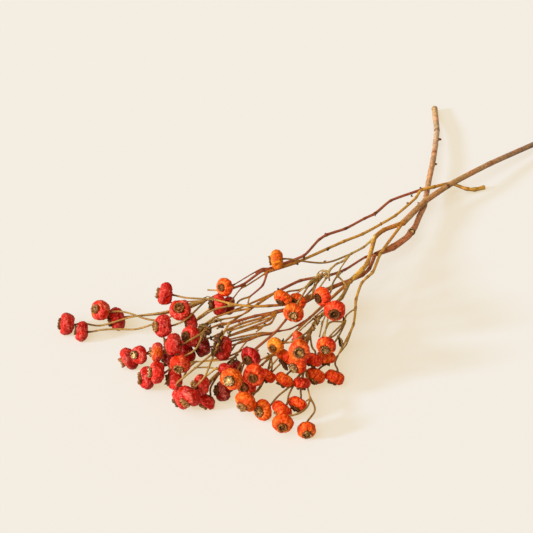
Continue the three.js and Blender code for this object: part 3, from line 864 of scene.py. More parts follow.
# %% Spin the blank of a hip
HIP_OUTLINE = [  # (radius, height) in half widths, from the dimple to the ring
    (0, -0.47), (0.14, -0.49), (0.28, -0.565), (0.42, -0.605), (0.56, -0.6), (0.7, -0.54),
    (0.83, -0.43), (0.93, -0.28), (0.985, -0.12), (1, 0.03), (0.975, 0.2), (0.9, 0.36), (0.79, 0.49),
    (0.68, 0.555), (0.58, 0.565), (0.5, 0.53), (0.42, 0.48), (0, 0.44),
]
HIP_STEPS = 74
HIP_FINER = 3  # points for each of the outline's
ONE_PLACE = 1e-5  # vertices closer than this are one


def spun_mesh(name, outline, steps):
    """A closed mesh spun from an outline that starts and ends on the axis."""
    form = bmesh.new()
    line = [form.verts.new((radius, 0, height)) for radius, height in outline]
    edges = [form.edges.new(pair) for pair in zip(line, line[1:])]
    bmesh.ops.spin(
        form, geom=line + edges, cent=(0, 0, 0), axis=(0, 0, 1), angle=math.tau, steps=steps, use_merge=True)
    bmesh.ops.remove_doubles(form, verts=form.verts, dist=ONE_PLACE)
    bmesh.ops.recalc_face_normals(form, faces=form.faces)
    return mesh_from(form, name)


def finer(outline, count):
    """An outline with more points, on a smooth curve through its own."""
    points = [Vector((radius, 0, height)) for radius, height in outline]
    fine = [bezier(stretch, k / count) for stretch in centripetal(points) for k in range(count)]
    fine.append(points[-1])
    return [(max(0.0, point.x), point.z) for point in fine]


hip_blank = spun_mesh("hip_blank", finer(HIP_OUTLINE, HIP_FINER), HIP_STEPS)
print("a hip has", len(hip_blank.polygons), "faces")


# %% [markdown]
# Fresh hips are one colour, and dried ones aren't: the skin darkens where it dried
# first and stays orange in the shade of its neighbours. Every hip gets a main and a
# second colour and a kind of crown. Over the skin lies a bloom, a pale waxy film, which
# also paints a sheen on the raised cells as painted highlight. About half of the hips are soft. The rest are
# firm, with folds from pole to pole.

# %% Colours of the skins, and the looks of every hip
SKIN = palette(
    rose=(240, 48, 34), crimson=(212, 26, 16), wine=(168, 18, 8), red=(238, 44, 22),
    scarlet=(250, 56, 16), vermilion=(255, 76, 10), orange=(255, 104, 16), amber=(255, 142, 32),
    pink_bloom=(250, 158, 138), peach_bloom=(255, 164, 106), pale_bloom=(255, 178, 92),
)
# bloom colours, which are also painted sheen on the raised cells
BLOOMS_AND_SHEENS = {"scarlet": "peach_bloom", "vermilion": "pale_bloom", "orange": "pale_bloom", "amber": "pale_bloom"}
LOOKS = {  # main colour, second colour, crown
    1: "rose crimson dark", 2: "crimson red dark", 3: "red orange cap", 4: "crimson red dark",
    5: "rose crimson brown", 6: "red scarlet brown", 7: "rose crimson cap", 8: "red rose brown",
    9: "rose wine cap", 10: "crimson red cream", 11: "rose orange tan", 12: "red red cream",
    13: "crimson rose tan", 14: "rose crimson dark", 15: "scarlet red tan", 16: "rose scarlet dark",
    17: "crimson red dark", 18: "wine wine dark", 19: "red wine brown", 20: "rose orange dark",
    21: "vermilion orange brown", 22: "rose red nub", 23: "wine crimson dark", 24: "orange amber dark",
    25: "orange scarlet dark", 26: "orange scarlet pale", 27: "orange vermilion dark",
    28: "scarlet vermilion dark", 29: "scarlet red dark", 30: "crimson scarlet cap",
    31: "red crimson cap", 32: "rose red dark", 33: "crimson red cap", 34: "wine wine dark",
    35: "orange vermilion cream", 36: "red crimson dark", 37: "scarlet vermilion brown",
    38: "scarlet wine brown", 39: "vermilion scarlet dark", 40: "crimson wine dark",
    41: "orange vermilion cap", 42: "orange vermilion tan", 43: "vermilion scarlet brown",
    44: "vermilion orange brown", 45: "vermilion scarlet dark", 46: "vermilion orange tan",
    47: "orange scarlet dark", 48: "scarlet wine dark", 49: "vermilion vermilion tan",
    50: "vermilion scarlet dark", 51: "vermilion red pale", 52: "orange red dark",
    53: "scarlet orange tan", 54: "vermilion scarlet cream", 55: "scarlet orange dark",
    56: "scarlet red dark", 57: "amber amber brown", 58: "wine crimson dark", 59: "wine crimson dark",
    60: "wine wine dark",
}
HIDDEN = {  # three more, deep in the cluster, have no solid: like which other hip, and where
    58: (9, (-203, 1, 22)), 59: (23, (-187, -28, 13)), 60: (9, (-204, 15, 9)),
}
STRIPED = {*range(21, 30), *range(37, 58)} - {40}  # the firm hips
print("hips with looks:", len(LOOKS), "of them firm:", len(STRIPED))


# %% [markdown]
# The skin's folds come from cell noise. On a soft dried skin it gives a fine net:
# its cells bulge and their borders sink. On a firmer hip the same cells are drawn
# out from pole to pole, by reading the noise at the angle round the hip rather than
# at the place itself. Where the noise is read is stored as the attribute "grain",
# so that the material can put finer wrinkles along the same folds.

# %% Cells of the skin
# How deep its dents are, how far its cells wander, how high its slow waves are, how light its
# furrows stay under painted shade and what painted light its raised cells add, and how much bloom and painted
# sheen there is, by itself and by noise
Kind = namedtuple("Kind", "dents wander waves furrow_light fold_light pale pale_slow pale_quick")
SOFT = Kind((0.08, 0.2), 0.35, 0.1, 0.64, 0.46, 0.14, 0.5, 0.6)
FIRM = Kind((0.03, 0.08), 0.22, 0.05, 0.67, 0.62, 0.12, 0, 0.4)
NET_SCALE = 4.6
STRIPE_SCALE = 4.2
STRIPE_STRETCH = 0.16
WANDER_SCALE = 2.3  # of the noise that keeps the cells from lying in rows
CELL_STEEPNESS = 3.2


def skin_cells(spot, seed, kind):
    """Where the cell noise is read for a spot, without and with its wander, and the cell's height there."""
    if kind is FIRM:
        angle = math.atan2(spot.y, spot.x)
        latitude = math.atan2(math.hypot(spot.x, spot.y), spot.z)
        place = Vector((math.cos(angle), math.sin(angle), latitude * STRIPE_STRETCH)) * STRIPE_SCALE
    else:
        place = spot * NET_SCALE
    grain = place + noise.noise_vector(spot * WANDER_SCALE + seed) * kind.wander + seed
    near, next_near = noise.voronoi(grain)[0][:2]
    return place, grain, min(1.0, (next_near - near) * CELL_STEEPNESS)


print("a cell's height on top of a soft hip:", round(skin_cells(Vector((0, 0, 1)), NOWHERE, SOFT)[2], 2))


# %% [markdown]
# Each hip takes a copy of the blank and pushes its vertices. Two slow waves round it
# make it lopsided, one side is thinner, and one to three dents collapse its sides.
# The push fades towards the poles, where the stalk and the crown hold the skin.

# %% Push the blank into one dried hip
NET_DEPTH = 0.05  # depths and widths are in half widths of the hip
CELL_LEVEL = 0.75  # the height of a cell that isn't pushed
SLOW_SCALE = 1.6
QUICK_SCALE = 4.2
QUICK_DEPTH = 0.03
DENT_WIDTH = 0.42
DENT_COUNTS = (1, 2, 3)
DENT_HEIGHTS = (-0.4, 0.6)  # least and most, as for the next three
TWO_LOBES = (0.01, 0.05)
THREE_LOBES = (0.01, 0.04)
THINNER = (0.05, 0.14)
POLE_RADIUS = 0.55  # inside it the push fades
FULLNESS = 1.05  # makes good what the dents and folds take away
PATCH_NOISE = ((1.1, 1.3), (0.8, 0.35))  # scale and strength: of patches, and of single cells
PATCH_LEVEL = 0.35
QUICK_LIGHT = 0.45
CROWN_RING = (0.58, 0.12)  # radius and width of the pale ring round a firm hip's crown
CROWN_RING_FROM = 0.3  # its least height


def dried_hip(number, place):
    """A hip's skin mesh in its place, with its colours and folds as attributes."""
    draw = random.Random(number)
    seed = random_seed(draw)
    two_lobes = draw.uniform(*TWO_LOBES)
    three_lobes = draw.uniform(*THREE_LOBES)
    turns = [draw.uniform(0, math.tau) for _ in range(3)]
    thinner = draw.uniform(*THINNER)
    kind = FIRM if number in STRIPED else SOFT
    dents = []
    for _ in range(draw.choice(DENT_COUNTS)):
        angle = draw.uniform(0, math.tau)
        toward = Vector((math.cos(angle), math.sin(angle), draw.uniform(*DENT_HEIGHTS))).normalized()
        dents.append((toward, draw.uniform(*kind.dents)))
    first, second, _ = LOOKS[number].split()
    bloom = SKIN[BLOOMS_AND_SHEENS.get(first, "pink_bloom")]
    first, second = SKIN[first], SKIN[second]
    mesh = hip_blank.copy()
    count = len(mesh.vertices)
    points = np.zeros((count, 3), np.float32)
    tints = np.ones((count, 4), np.float32)
    grains = np.zeros((count, 3), np.float32)
    for vertex in mesh.vertices:
        spot = vertex.co
        radius = math.hypot(spot.x, spot.y)
        angle = math.atan2(spot.y, spot.x)
        side = min(1.0, radius / POLE_RADIUS) ** 2
        cell_place, grain, cell = skin_cells(spot, seed, kind)
        slow = noise.noise(spot * SLOW_SCALE + seed)
        quick = noise.noise(spot * QUICK_SCALE - seed)
        push = (cell - CELL_LEVEL) * NET_DEPTH * side + kind.waves * slow * side
        push += QUICK_DEPTH * quick * side
        for toward, depth in dents:
            push -= depth * bell((spot.normalized() - toward).length, DENT_WIDTH) * side
        wide = 1 + two_lobes * math.cos(2 * angle - turns[0]) + three_lobes * math.cos(3 * angle - turns[1])
        thick = 1 - thinner * (0.5 + 0.5 * math.cos(angle - turns[2]))
        moved = Vector((spot.x * wide, spot.y * wide, spot.z * thick)) + vertex.normal * push
        points[vertex.index] = place.centre + place.turn.to_3x3() @ (moved * place.half_width * FULLNESS)
        (patch_scale, patch), (cell_scale, single) = PATCH_NOISE
        share = PATCH_LEVEL + patch * noise.noise(spot * patch_scale - seed)
        share += single * noise.noise(cell_place * cell_scale + seed)
        tint = first.lerp(second, between(share)) * (1 + QUICK_LIGHT * quick)
        # painted shade in the sunk furrows between the cells, and painted light on their raised tops
        tint *= kind.furrow_light + kind.fold_light * cell
        paler = kind.pale + kind.pale_slow * slow + kind.pale_quick * quick
        if kind is FIRM and spot.z > CROWN_RING_FROM:
            paler = max(paler, (0.5 + 0.5 * quick) * bell(radius - CROWN_RING[0], CROWN_RING[1]))
        # bloom and painted sheen on the raised cells, and the pale ring round a firm hip's crown
        tints[vertex.index] = tint.lerp(bloom, max(0.0, cell * paler))
        grains[vertex.index] = grain
    points[:, 2] = points[:, 2].clip(TABLE_GAP)
    mesh.vertices.foreach_set("co", points.ravel())
    mesh.attributes.new("tint", "FLOAT_COLOR", "POINT").data.foreach_set("color", tints.ravel())
    mesh.attributes.new("grain", "FLOAT_VECTOR", "POINT").data.foreach_set("vector", grains.ravel())
    mesh.shade_smooth()
    return mesh


print("hip 1 is soft:", 1 not in STRIPED, "and its half width in mm:", round(hips[1].half_width / MM, 2))


# %% [markdown]
# ## The crowns
#
# Where the flower sat, a hip keeps the dried disc of the calyx: a ragged rim round a
# shallow bowl, stumps of sepals, and in the middle the knot of styles, sometimes
# with pale stamens round it. The body of a crown is spun like a hip. Some stand out
# of the hip as a cap or a nub, and the others differ in how dark they have gone and
# in how far the pale middle spreads.

# %% Spin the blank of a crown
Crown = namedtuple("Crown", "middle wall spread crust lift stamens smaller")
# Colours of the middle and the rim as a screen shows them, how far the middle spreads and its
# crusts show, how far it all stands out, its stamens, and what is taken off its size
CROWNS = {
    "dark": Crown((158, 104, 58), (118, 74, 38), 0.08, 0.2, 0, 5, 0),
    "brown": Crown((178, 116, 62), (144, 92, 46), 0.2, 0.8, 0, 7, 0.1),
    "tan": Crown((228, 178, 110), (126, 80, 42), 0.18, 0.8, 0, 11, 0),
    "pale": Crown((244, 206, 138), (112, 68, 34), 0.3, 0.8, 0, 16, 0.1),
    "cream": Crown((255, 224, 160), (116, 72, 38), 0.36, 0.8, 0.08, 12, 0),
    "cap": Crown((206, 158, 98), (164, 110, 62), 0.16, 0.8, 0.08, 9, 0.1),
    "nub": Crown((162, 108, 60), (134, 84, 46), 0.1, 0.8, 0.2, 5, 0),
}
CROWN_BOWL = Vector(screen(72, 42, 18))
CROWN_OUTLINE = [  # (radius, height) in half widths, from under the skin over the rim to the bowl
    (0, 0.3), (0.3, 0.34), (0.46, 0.46), (0.55, 0.57), (0.56, 0.68), (0.5, 0.77), (0.42, 0.76),
    (0.35, 0.66), (0.28, 0.57), (0.2, 0.56), (0.1, 0.62), (0, 0.66),
]
CROWN_STEPS = 38
CROWN_FINER = 2

crown_blank = spun_mesh("crown_blank", finer(CROWN_OUTLINE, CROWN_FINER), CROWN_STEPS)
print("a crown's body has", len(crown_blank.polygons), "faces")


# %% [markdown]
# The body is roughened with noise, which also notches its rim, and painted lighter where the
# noise raises it, as painted highlight. The bowl is darkest, the middle pale with an uneven
# edge, and crusts of the middle's colour cling to the wall. Sepals stand on the rim as small bent stumps, and
# stamens as short rods.

# %% Make one crown
CROWN_SEEDS = 1000  # keeps the chances of a crown apart from those of its hip
CROWN_NOISE = (5, 12, 0.8)  # scale of the coarse and of the fine noise, share of the fine
CROWN_SIZES = (0.84, 1)
CROWN_TOP = 0.5  # the height above which the rim and the bowl begin
RIM = (0.43, 0.1)  # radius and width
LOW_RIM = 0.2  # how much of the rim's roughness the rest has
ROUGH_DEPTH, RIM_ROUGH, RIM_NOTCH = 0.09, 0.1, 0.2
NOTCHES = 1.7
BOWL_EDGE, BOWL_STEEPNESS = 0.36, 30
MIDDLE_OFF = 0.1  # how far off the axis the pale middle may lie
MIDDLE_SHARE, MIDDLE_STEEPNESS = 0.9, 40
MIDDLE_RAGGED, MIDDLE_SCALE = 0.22, 7
CRUST_SCALE, CRUST_STEEPNESS, CRUST_LEVEL = 9, 5, 0.6
ROUGH_PAINTED_LIGHT = 0.6
SEPAL_COUNTS = (3, 4, 5)
SEPAL_SIZE = (0.15, 0.06, 0.19)
SEPAL_SIZES = (0.7, 1.2)
SEPAL_LEAN = (-0.6, 0.9)
SEPAL_PLACE = (0.44, 0.62)  # from the axis, and height
SEPAL_SHIFT = (-0.03, 0.05)
SEPAL_SCALE, SEPAL_ROUGH, SEPAL_LIGHT = 13, 0.05, 0.9
STAMEN_RADIUS = 0.03
STAMEN_TIP = 1.5 * STAMEN_RADIUS
STAMEN_REACH = (0.02, 0.24)
STAMEN_LENGTH = (0.1, 0.2)
STAMEN_LEAN = 0.5
STAMEN_LIGHT = (0.75, 1.15)


def add_crown_body(form, tint, draw, seed, crown, size):
    """Roughens and paints the crown's body."""
    middle, wall = (Vector(screen(*colour)) for colour in (crown.middle, crown.wall))
    off = Vector([draw.uniform(-MIDDLE_OFF, MIDDLE_OFF) for _ in range(2)])
    for vertex in form.verts:
        spot = vertex.co.copy()
        on_top = spot.z > CROWN_TOP
        rough = layered(spot, *CROWN_NOISE, seed)
        rim = bell(math.hypot(spot.x, spot.y) - RIM[0], RIM[1]) if on_top else LOW_RIM
        notch = max(0.0, noise.noise(Vector((math.atan2(spot.y, spot.x) * NOTCHES, 0, 0)) + seed))
        vertex.co = Vector((spot.x * size, spot.y * size, spot.z)) + spot.normalized() * ROUGH_DEPTH * rough
        vertex.co.z += (rough * RIM_ROUGH - notch * RIM_NOTCH) * rim
        bowl = inside(math.hypot(spot.x, spot.y), BOWL_EDGE, BOWL_STEEPNESS) if on_top else 0
        edge = (spot.to_2d() - off).length + MIDDLE_RAGGED * noise.noise(spot * MIDDLE_SCALE + seed)
        shade = wall.lerp(CROWN_BOWL, bowl)
        shade = shade.lerp(middle, MIDDLE_SHARE * inside(edge, crown.spread, MIDDLE_STEEPNESS))
        crust = between(CRUST_STEEPNESS * noise.noise(spot * CRUST_SCALE - seed) - CRUST_LEVEL) * crown.crust
        # painted highlight where the noise raises the body, painted shade where it sinks
        shade = shade.lerp(middle, crust) * (1 + ROUGH_PAINTED_LIGHT * rough)
        vertex[tint] = [max(0.0, channel) for channel in shade]


def add_sepals(form, tint, draw, seed, crown, size):
    """Three to five stumps of sepals on the rim."""
    wall = Vector(screen(*crown.wall))
    for _ in range(draw.choice(SEPAL_COUNTS)):
        angle = draw.uniform(0, math.tau)
        sepal = bmesh.ops.create_icosphere(form, subdivisions=2, radius=1)["verts"]
        bmesh.ops.scale(form, verts=sepal, vec=[side * draw.uniform(*SEPAL_SIZES) for side in SEPAL_SIZE])
        lean = Matrix.Rotation(draw.uniform(*SEPAL_LEAN), 4, "X")
        stand = Matrix.Translation((0, SEPAL_PLACE[0] * size, SEPAL_PLACE[1] + draw.uniform(*SEPAL_SHIFT)))
        bmesh.ops.transform(form, verts=sepal, matrix=Matrix.Rotation(angle, 4, "Z") @ stand @ lean)
        for vertex in sepal:
            rough = noise.noise(vertex.co * SEPAL_SCALE + seed)
            vertex.co += vertex.co.normalized() * SEPAL_ROUGH * rough
            vertex[tint] = wall * (SEPAL_LIGHT + SEPAL_LIGHT * rough)


def add_stamens(form, tint, draw, crown):
    """Short rods that stand round the middle."""
    middle = Vector(screen(*crown.middle))
    for _ in range(crown.stamens):
        angle = draw.uniform(0, math.tau)
        reach = draw.uniform(*STAMEN_REACH)
        length = draw.uniform(*STAMEN_LENGTH)
        stamen = bmesh.ops.create_cone(
            form, cap_ends=True, segments=6, radius1=STAMEN_RADIUS, radius2=STAMEN_TIP, depth=length)["verts"]
        across = (math.cos(angle), math.sin(angle), 0)
        lean = Matrix.Rotation(draw.uniform(-STAMEN_LEAN, STAMEN_LEAN), 4, across)
        stand = Matrix.Translation((reach * across[0], reach * across[1], CROWN_TOP + length / 2))
        bmesh.ops.transform(form, verts=stamen, matrix=stand @ lean)
        for vertex in stamen:
            vertex[tint] = middle * draw.uniform(*STAMEN_LIGHT)


def dried_crown(number, place):
    """A hip's crown as a mesh in its place, coloured by an attribute."""
    draw = random.Random(CROWN_SEEDS + number)
    seed = random_seed(draw)
    crown = CROWNS[LOOKS[number].split()[2]]
    size = draw.uniform(*CROWN_SIZES) - crown.smaller
    form = bmesh.new()
    form.from_mesh(crown_blank)
    tint = form.verts.layers.float_color.new("tint")
    add_crown_body(form, tint, draw, seed, crown, size)
    add_sepals(form, tint, draw, seed, crown, size)
    add_stamens(form, tint, draw, crown)
    in_place = Matrix.Translation(place.centre) @ place.turn @ Matrix.Scale(place.half_width, 4)
    lifted = in_place @ Matrix.Translation((0, 0, crown.lift))
    bmesh.ops.transform(form, verts=form.verts, matrix=lifted)
    for vertex in form.verts:
        vertex.co.z = max(vertex.co.z, TABLE_GAP)
    mesh = mesh_from(form, "crown")
    mesh.shade_smooth()
    return mesh


print("kinds of crown:", sorted(CROWNS))


# %% [markdown]
# The skin of a dried hip is like old leather, wrinkled finely between its folds,
# with small dark pits. Both follow the grain, so that they run with the folds. The
# wrinkles are a second bump over the shared one, with painted shade in their valleys and a
# painted highlight on their ridges, and where the mottle is high the skin is rougher. The calyx is only
# mottled, and duller.

# %% Skin and crown materials
WRINKLE_SCALE = 2.4
WRINKLE_DETAIL = 2.0
WRINKLE_SHADE_AND_HIGHLIGHT = [(0.3, screen(196, 130, 118)), (0.44, WHITE), (0.68, (1.1, 1.35, 1.35, 1))]
WRINKLE_STRENGTH = 0.6
WRINKLE_DEPTH = 0.35 * MM
PIT_SCALE = 0.9
PIT_TONES = [(0.08, screen(150, 90, 90)), (0.16, WHITE)]
SKIN_MOTTLE = screen(206, 160, 150)
SKIN_ROUGHNESS = {"From Min": 0.3, "From Max": 0.7, "To Min": 0.45, "To Max": 0.6}
CALYX_MOTTLE_SCALE = 1100.0
CALYX_MOTTLE = screen(158, 114, 76)


def skin_material(name):
    """Leathery skin: the hip's own tint, with painted shade in its folds, mottled and a little glossy."""
    material, tree, shader = new_material(name)
    grain = attribute(tree, "grain", "Vector")
    wrinkles = node(tree, "ShaderNodeTexNoise", {
        "Vector": grain, "Scale": WRINKLE_SCALE, "Detail": WRINKLE_DETAIL,
    }).outputs["Fac"]
    pits = node(tree, "ShaderNodeTexVoronoi", {"Vector": grain, "Scale": PIT_SCALE}).outputs["Distance"]
    skin = attribute(tree, "tint")
    # painted shade in the wrinkles' valleys and a painted highlight on their ridges, then the dark pits
    for tones in (ramp(tree, wrinkles, WRINKLE_SHADE_AND_HIGHLIGHT), ramp(tree, pits, PIT_TONES)):
        skin = mixed(tree, MULTIPLIED, skin, tones, "MULTIPLY")
    height, normal = weathered(tree, shader, skin, MOTTLE_SCALE, SKIN_MOTTLE, share=0.5, depth=0.15 * MM)
    creases = node(tree, "ShaderNodeBump", {
        "Height": wrinkles, "Strength": WRINKLE_STRENGTH, "Distance": WRINKLE_DEPTH, "Normal": normal,
    }).outputs["Normal"]
    tree.links.new(creases, shader.inputs["Normal"])
    rough = node(tree, "ShaderNodeMapRange", {"Value": height, **SKIN_ROUGHNESS}).outputs["Result"]
    tree.links.new(rough, shader.inputs["Roughness"])
    shader.inputs["Specular IOR Level"].default_value = 0.12
    return material


def crown_material():
    """Dry calyx: its own tint, speckled, rough."""
    material, tree, shader = new_material("dried_calyx")
    tint = attribute(tree, "tint")
    weathered(tree, shader, tint, CALYX_MOTTLE_SCALE, CALYX_MOTTLE, share=0.5, depth=0.3 * MM)
    shader.inputs["Roughness"].default_value = 0.75
    shader.inputs["Specular IOR Level"].default_value = 0.1
    return material


slots = {entry["node"]: entry["material_slot"] for entry in frame["record"]["subparts"]}
skins = {slot: skin_material(slot) for slot in sorted(set(slots.values())) if slot.endswith("_skin")}
calyx = crown_material()
print("skin materials:", list(skins))


# %% [markdown]
# Now every hip can be made. A hip and its crown are one piece with two materials,
# because the dried flower doesn't come off. Three hips deep in the cluster are seen
# only between others. They have no solid, so they copy the place of another hip,
# move it, and stand for no node.

# %% Place all hips
def joined(first, second):
    """One mesh with both, the second keeping its own material."""
    form = bmesh.new()
    form.from_mesh(first)
    first_faces = len(form.faces)
    form.from_mesh(second)
    form.faces.ensure_lookup_table()
    for face in form.faces[first_faces:]:
        face.material_index = 1
    form.to_mesh(first)
    form.free()
    return first


for number, (other, spot) in HIDDEN.items():
    hips[number] = copy.copy(hips[other])
    hips[number].centre = to_scene(spot)
for number, place in sorted(hips.items()):
    name = f"hip_{number:02d}"
    slot = slots.get(name, "garnet_skin")
    mesh = joined(dried_hip(number, place), dried_crown(number, place))
    mesh.name = name
    mesh.materials.append(skins[slot])
    mesh.materials.append(calyx)
    new_piece(f"dried_{name}", mesh, slot, *([name] if name in slots else []))
print("faces of the last hip:", len(mesh.polygons))


# %% [markdown]
# ## Litter
#
# A dried spray carries its own litter: shrivelled leaflets, a bud that never
# opened, bracts curled round a fork, stubs where leaves broke off. Each scrap is a
# small ball, stretched from one point to another, flattened, and crumpled with
# noise, with painted shade in its hollows and painted light on its bulges. Single scraps are rows of a
# colour, a width and two ends in millimetres.
# A clump scatters its scraps along a direction round its middle.

# %% Rows of the litter
HUSK = palette(
    husk=(96, 64, 38), straw=(222, 188, 126), olive=(176, 144, 82),
    tan=(206, 156, 96), rust=(128, 60, 40), bud=(142, 92, 60),
)
SCRAPS = [
    # stubs and spurs on the stems
    ("bud", 2.4, (130, 26, 6.5), (131.5, 22.6, 7.5)), ("bud", 2.4, (97, 7, 8), (97.5, 4.4, 9)),
    ("tan", 2, (79.5, -1, 8.5), (77.5, 1, 9)), ("bud", 1.4, (95.5, -25, 13), (95, -27, 12)),
    ("bud", 1.2, (94, -25, 13), (93.5, -26.5, 12)), ("bud", 2.2, (37, -20, 15), (37.5, -17.2, 15)),
    ("husk", 1.4, (43, -8, 15.5), (41.5, -9.8, 14.7)), ("bud", 1.7, (31, -14, 15.5), (31, -11.4, 16)),
    ("bud", 1.8, (54, -9.5, 15), (54.5, -7.5, 15.5)), ("bud", 1.8, (-7.5, -15.5, 19), (-6, -13.2, 20)),
    ("husk", 1.3, (-1, -4, 20), (-1.5, -5.6, 19.2)), ("bud", 2.2, (-51.5, 2.5, 27), (-51.5, 4.3, 28.3)),
    ("husk", 1.6, (-85.5, -3.5, 32), (-87.3, -5.3, 31.2)), ("bud", 1.8, (-92, -3, 30), (-93, -4, 29)),
    ("bud", 1.5, (-80.5, -18.5, 31), (-79, -17.7, 31.8)),
    ("husk", 1.6, (-124.5, -12.5, 31), (-123, -10.7, 31.4)),
    ("husk", 1.8, (-71.5, -26.5, 22), (-72, -27.8, 21.2)), ("husk", 1.8, (-62, -7.5, 26), (-64, -8, 26)),
    ("husk", 1.8, (-36, -31, 17), (-36, -29.6, 18)), ("husk", 1.6, (-54.5, -42, 18.5), (-56, -41.5, 18)),
    ("straw", 2.4, (-79.5, -32, 29), (-86.5, -33, 30)),
    # a leaflet, the unopened bud and its neighbours, bracts and knobs lower down
    ("husk", 1.7, (-107.5, -29.5, 37), (-118, -30.5, 38)),
    ("straw", 1, (-114, -29.5, 38.5), (-117.5, -29.5, 38.5)),
    ("husk", 3.6, (-120, -61, 15), (-125, -67.5, 12)),
    ("olive", 1.8, (-121.5, -63.5, 16), (-124.5, -67.5, 13)),
    ("olive", 1.1, (-124, -66.5, 12), (-123, -68, 9)),
    ("husk", 2, (-105, -54, 18.5), (-110.5, -57.5, 18)),
    ("husk", 1.7, (-116.5, -49.5, 21), (-120, -51, 21)),
    ("husk", 3.2, (-167.5, -50, 22), (-171, -58.5, 19)),
    ("tan", 2.2, (-200.5, 24.5, 22), (-206.5, 17, 19)),
    ("husk", 1.8, (-198.5, -23, 20), (-195.5, -23.5, 20)),
    ("husk", 2.2, (-152.5, -39, 22), (-154, -43.5, 22)),
    ("husk", 1.6, (-167.5, -38.5, 20), (-168.5, -41.5, 20)),
    ("olive", 1.2, (-170, 16.5, 38), (-165.5, 15, 38)), ("olive", 1.2, (-166, 15.5, 38), (-164, 11, 38)),
    ("husk", 1.6, (-182, -16.5, 34), (-178.5, -17, 34)),
    ("olive", 1.3, (-181, -15, 35), (-181.5, -19.5, 35)),
    ("husk", 2.6, (-186, -11.5, 42), (-185, -16.5, 42)),
]
CLUMPS = [  # middle, direction, spread along it and across it, number, width, length, colours
    ((-95, -31, 35), (-0.6, 0.1, 0.1), 3, 1.5, 7, 1.2, 5, "straw husk rust"),
    ((-131, -50, 28), (-0.8, -0.3, 0), 11, 2.6, 36, 1.4, 3, "olive husk olive tan rust"),
    ((-126, -48, 25), (-0.8, -0.2, 0), 4, 2, 8, 1.1, 4, "olive husk rust"),
    ((-197, -16, 41), (-0.6, -0.5, -0.4), 5, 4, 30, 2.8, 7, "husk bud rust bud husk"),
    ((-202, -26, 39), (-0.5, -0.5, -0.3), 4, 3, 12, 2.4, 6, "husk bud rust husk"),
    ((-192, -2, 40), (-0.4, 0.7, 0), 5, 2.4, 14, 2.4, 6, "olive tan olive husk"),
    ((-181, -8, 40), (-0.5, 0.5, 0), 4, 1.8, 9, 1.5, 5, "olive husk tan"),
    ((-188, -27, 22), (-0.8, 0.1, -0.3), 3, 1.5, 6, 1.6, 6, "olive husk"),
]
print("single scraps:", len(SCRAPS), "in clumps:", sum(clump[4] for clump in CLUMPS))


# %% [markdown]
# Litter never hangs in the air, it clings to the twigs. So the middle of each scrap
# of a clump is first drawn to the nearest twig, until the two touch.

# %% Withered scraps
SCRAP_NOISE = (1.8, 4.5, 0.7)  # scale of the coarse and of the fine noise, share of the fine
SCRAP_TURNS = 6.3  # about one full turn
SCRAP_BEND = 0.5  # at most, in widths
SCRAP_FLATNESS = 0.6
# painted shade in the scraps' hollows, as a share of the husk's colour
HOLLOW_PAINTED_SHADE = 0.7  # of the husk's colour
HOLLOW_SHADE_STEEPNESS = 1.6
HOLLOW_SHADE_MOST = 0.8
CRUMPLE_WIDE, CRUMPLE_LONG, CRUMPLE_PAINTED_LIGHT = 0.4, 0.15, 0.5
CLUMP_LEAN = 0.5
CLUMP_LENGTHS = (0.6, 1.1)  # least and most, of the length that the row gives
CLUMP_WIDTHS = (0.6, 1.2)
SCRAP_SUNK = 0.25  # of its width: what its middle keeps from the bark of its twig
LITTER_SEED = 7

wood_tree = placed_tree([place for place, _ in wood])


def add_scrap(form, tint, draw, colour, width, start, end):
    """A crumpled scrap between two places, added to a form."""
    seed = random_seed(draw)
    painted_hollow_shade = HUSK["husk"] * HOLLOW_PAINTED_SHADE
    verts = bmesh.ops.create_icosphere(form, subdivisions=3, radius=1)["verts"]
    spin = Matrix.Rotation(draw.uniform(0, SCRAP_TURNS), 4, "Z")
    turn = (end - start).to_track_quat("Z", "Y").to_matrix().to_4x4() @ spin
    bend = draw.uniform(-SCRAP_BEND, SCRAP_BEND) * width * MM
    for vertex in verts:
        spot = vertex.co.copy()
        crumple = layered(spot, *SCRAP_NOISE, seed)
        # painted shade in the hollows and painted light on the bulges
        shade = HUSK[colour].lerp(painted_hollow_shade, between(-HOLLOW_SHADE_STEEPNESS * crumple, high=HOLLOW_SHADE_MOST))
        vertex[tint] = shade * (1 + CRUMPLE_PAINTED_LIGHT * crumple)
        spread = (1 + CRUMPLE_WIDE * crumple) * width * MM / 2
        vertex.co = (
            spot.x * spread + bend * (1 - 2 * spot.z ** 2),
            spot.y * spread * SCRAP_FLATNESS,
            spot.z * (end - start).length / 2 * (1 + CRUMPLE_LONG * crumple),
        )
    bmesh.ops.transform(form, verts=verts, matrix=Matrix.Translation((start + end) / 2) @ turn)
    for vertex in verts:
        vertex.co.z = max(vertex.co.z, TABLE_GAP)


def held(middle, width):
    """A scrap's middle, drawn to the nearest twig where it would hang in the air."""
    place, index, distance = wood_tree.find(middle)
    reach = wood[index][1] + width * MM * SCRAP_SUNK
    return place + (middle - place) * min(1.0, reach / max(distance, reach))


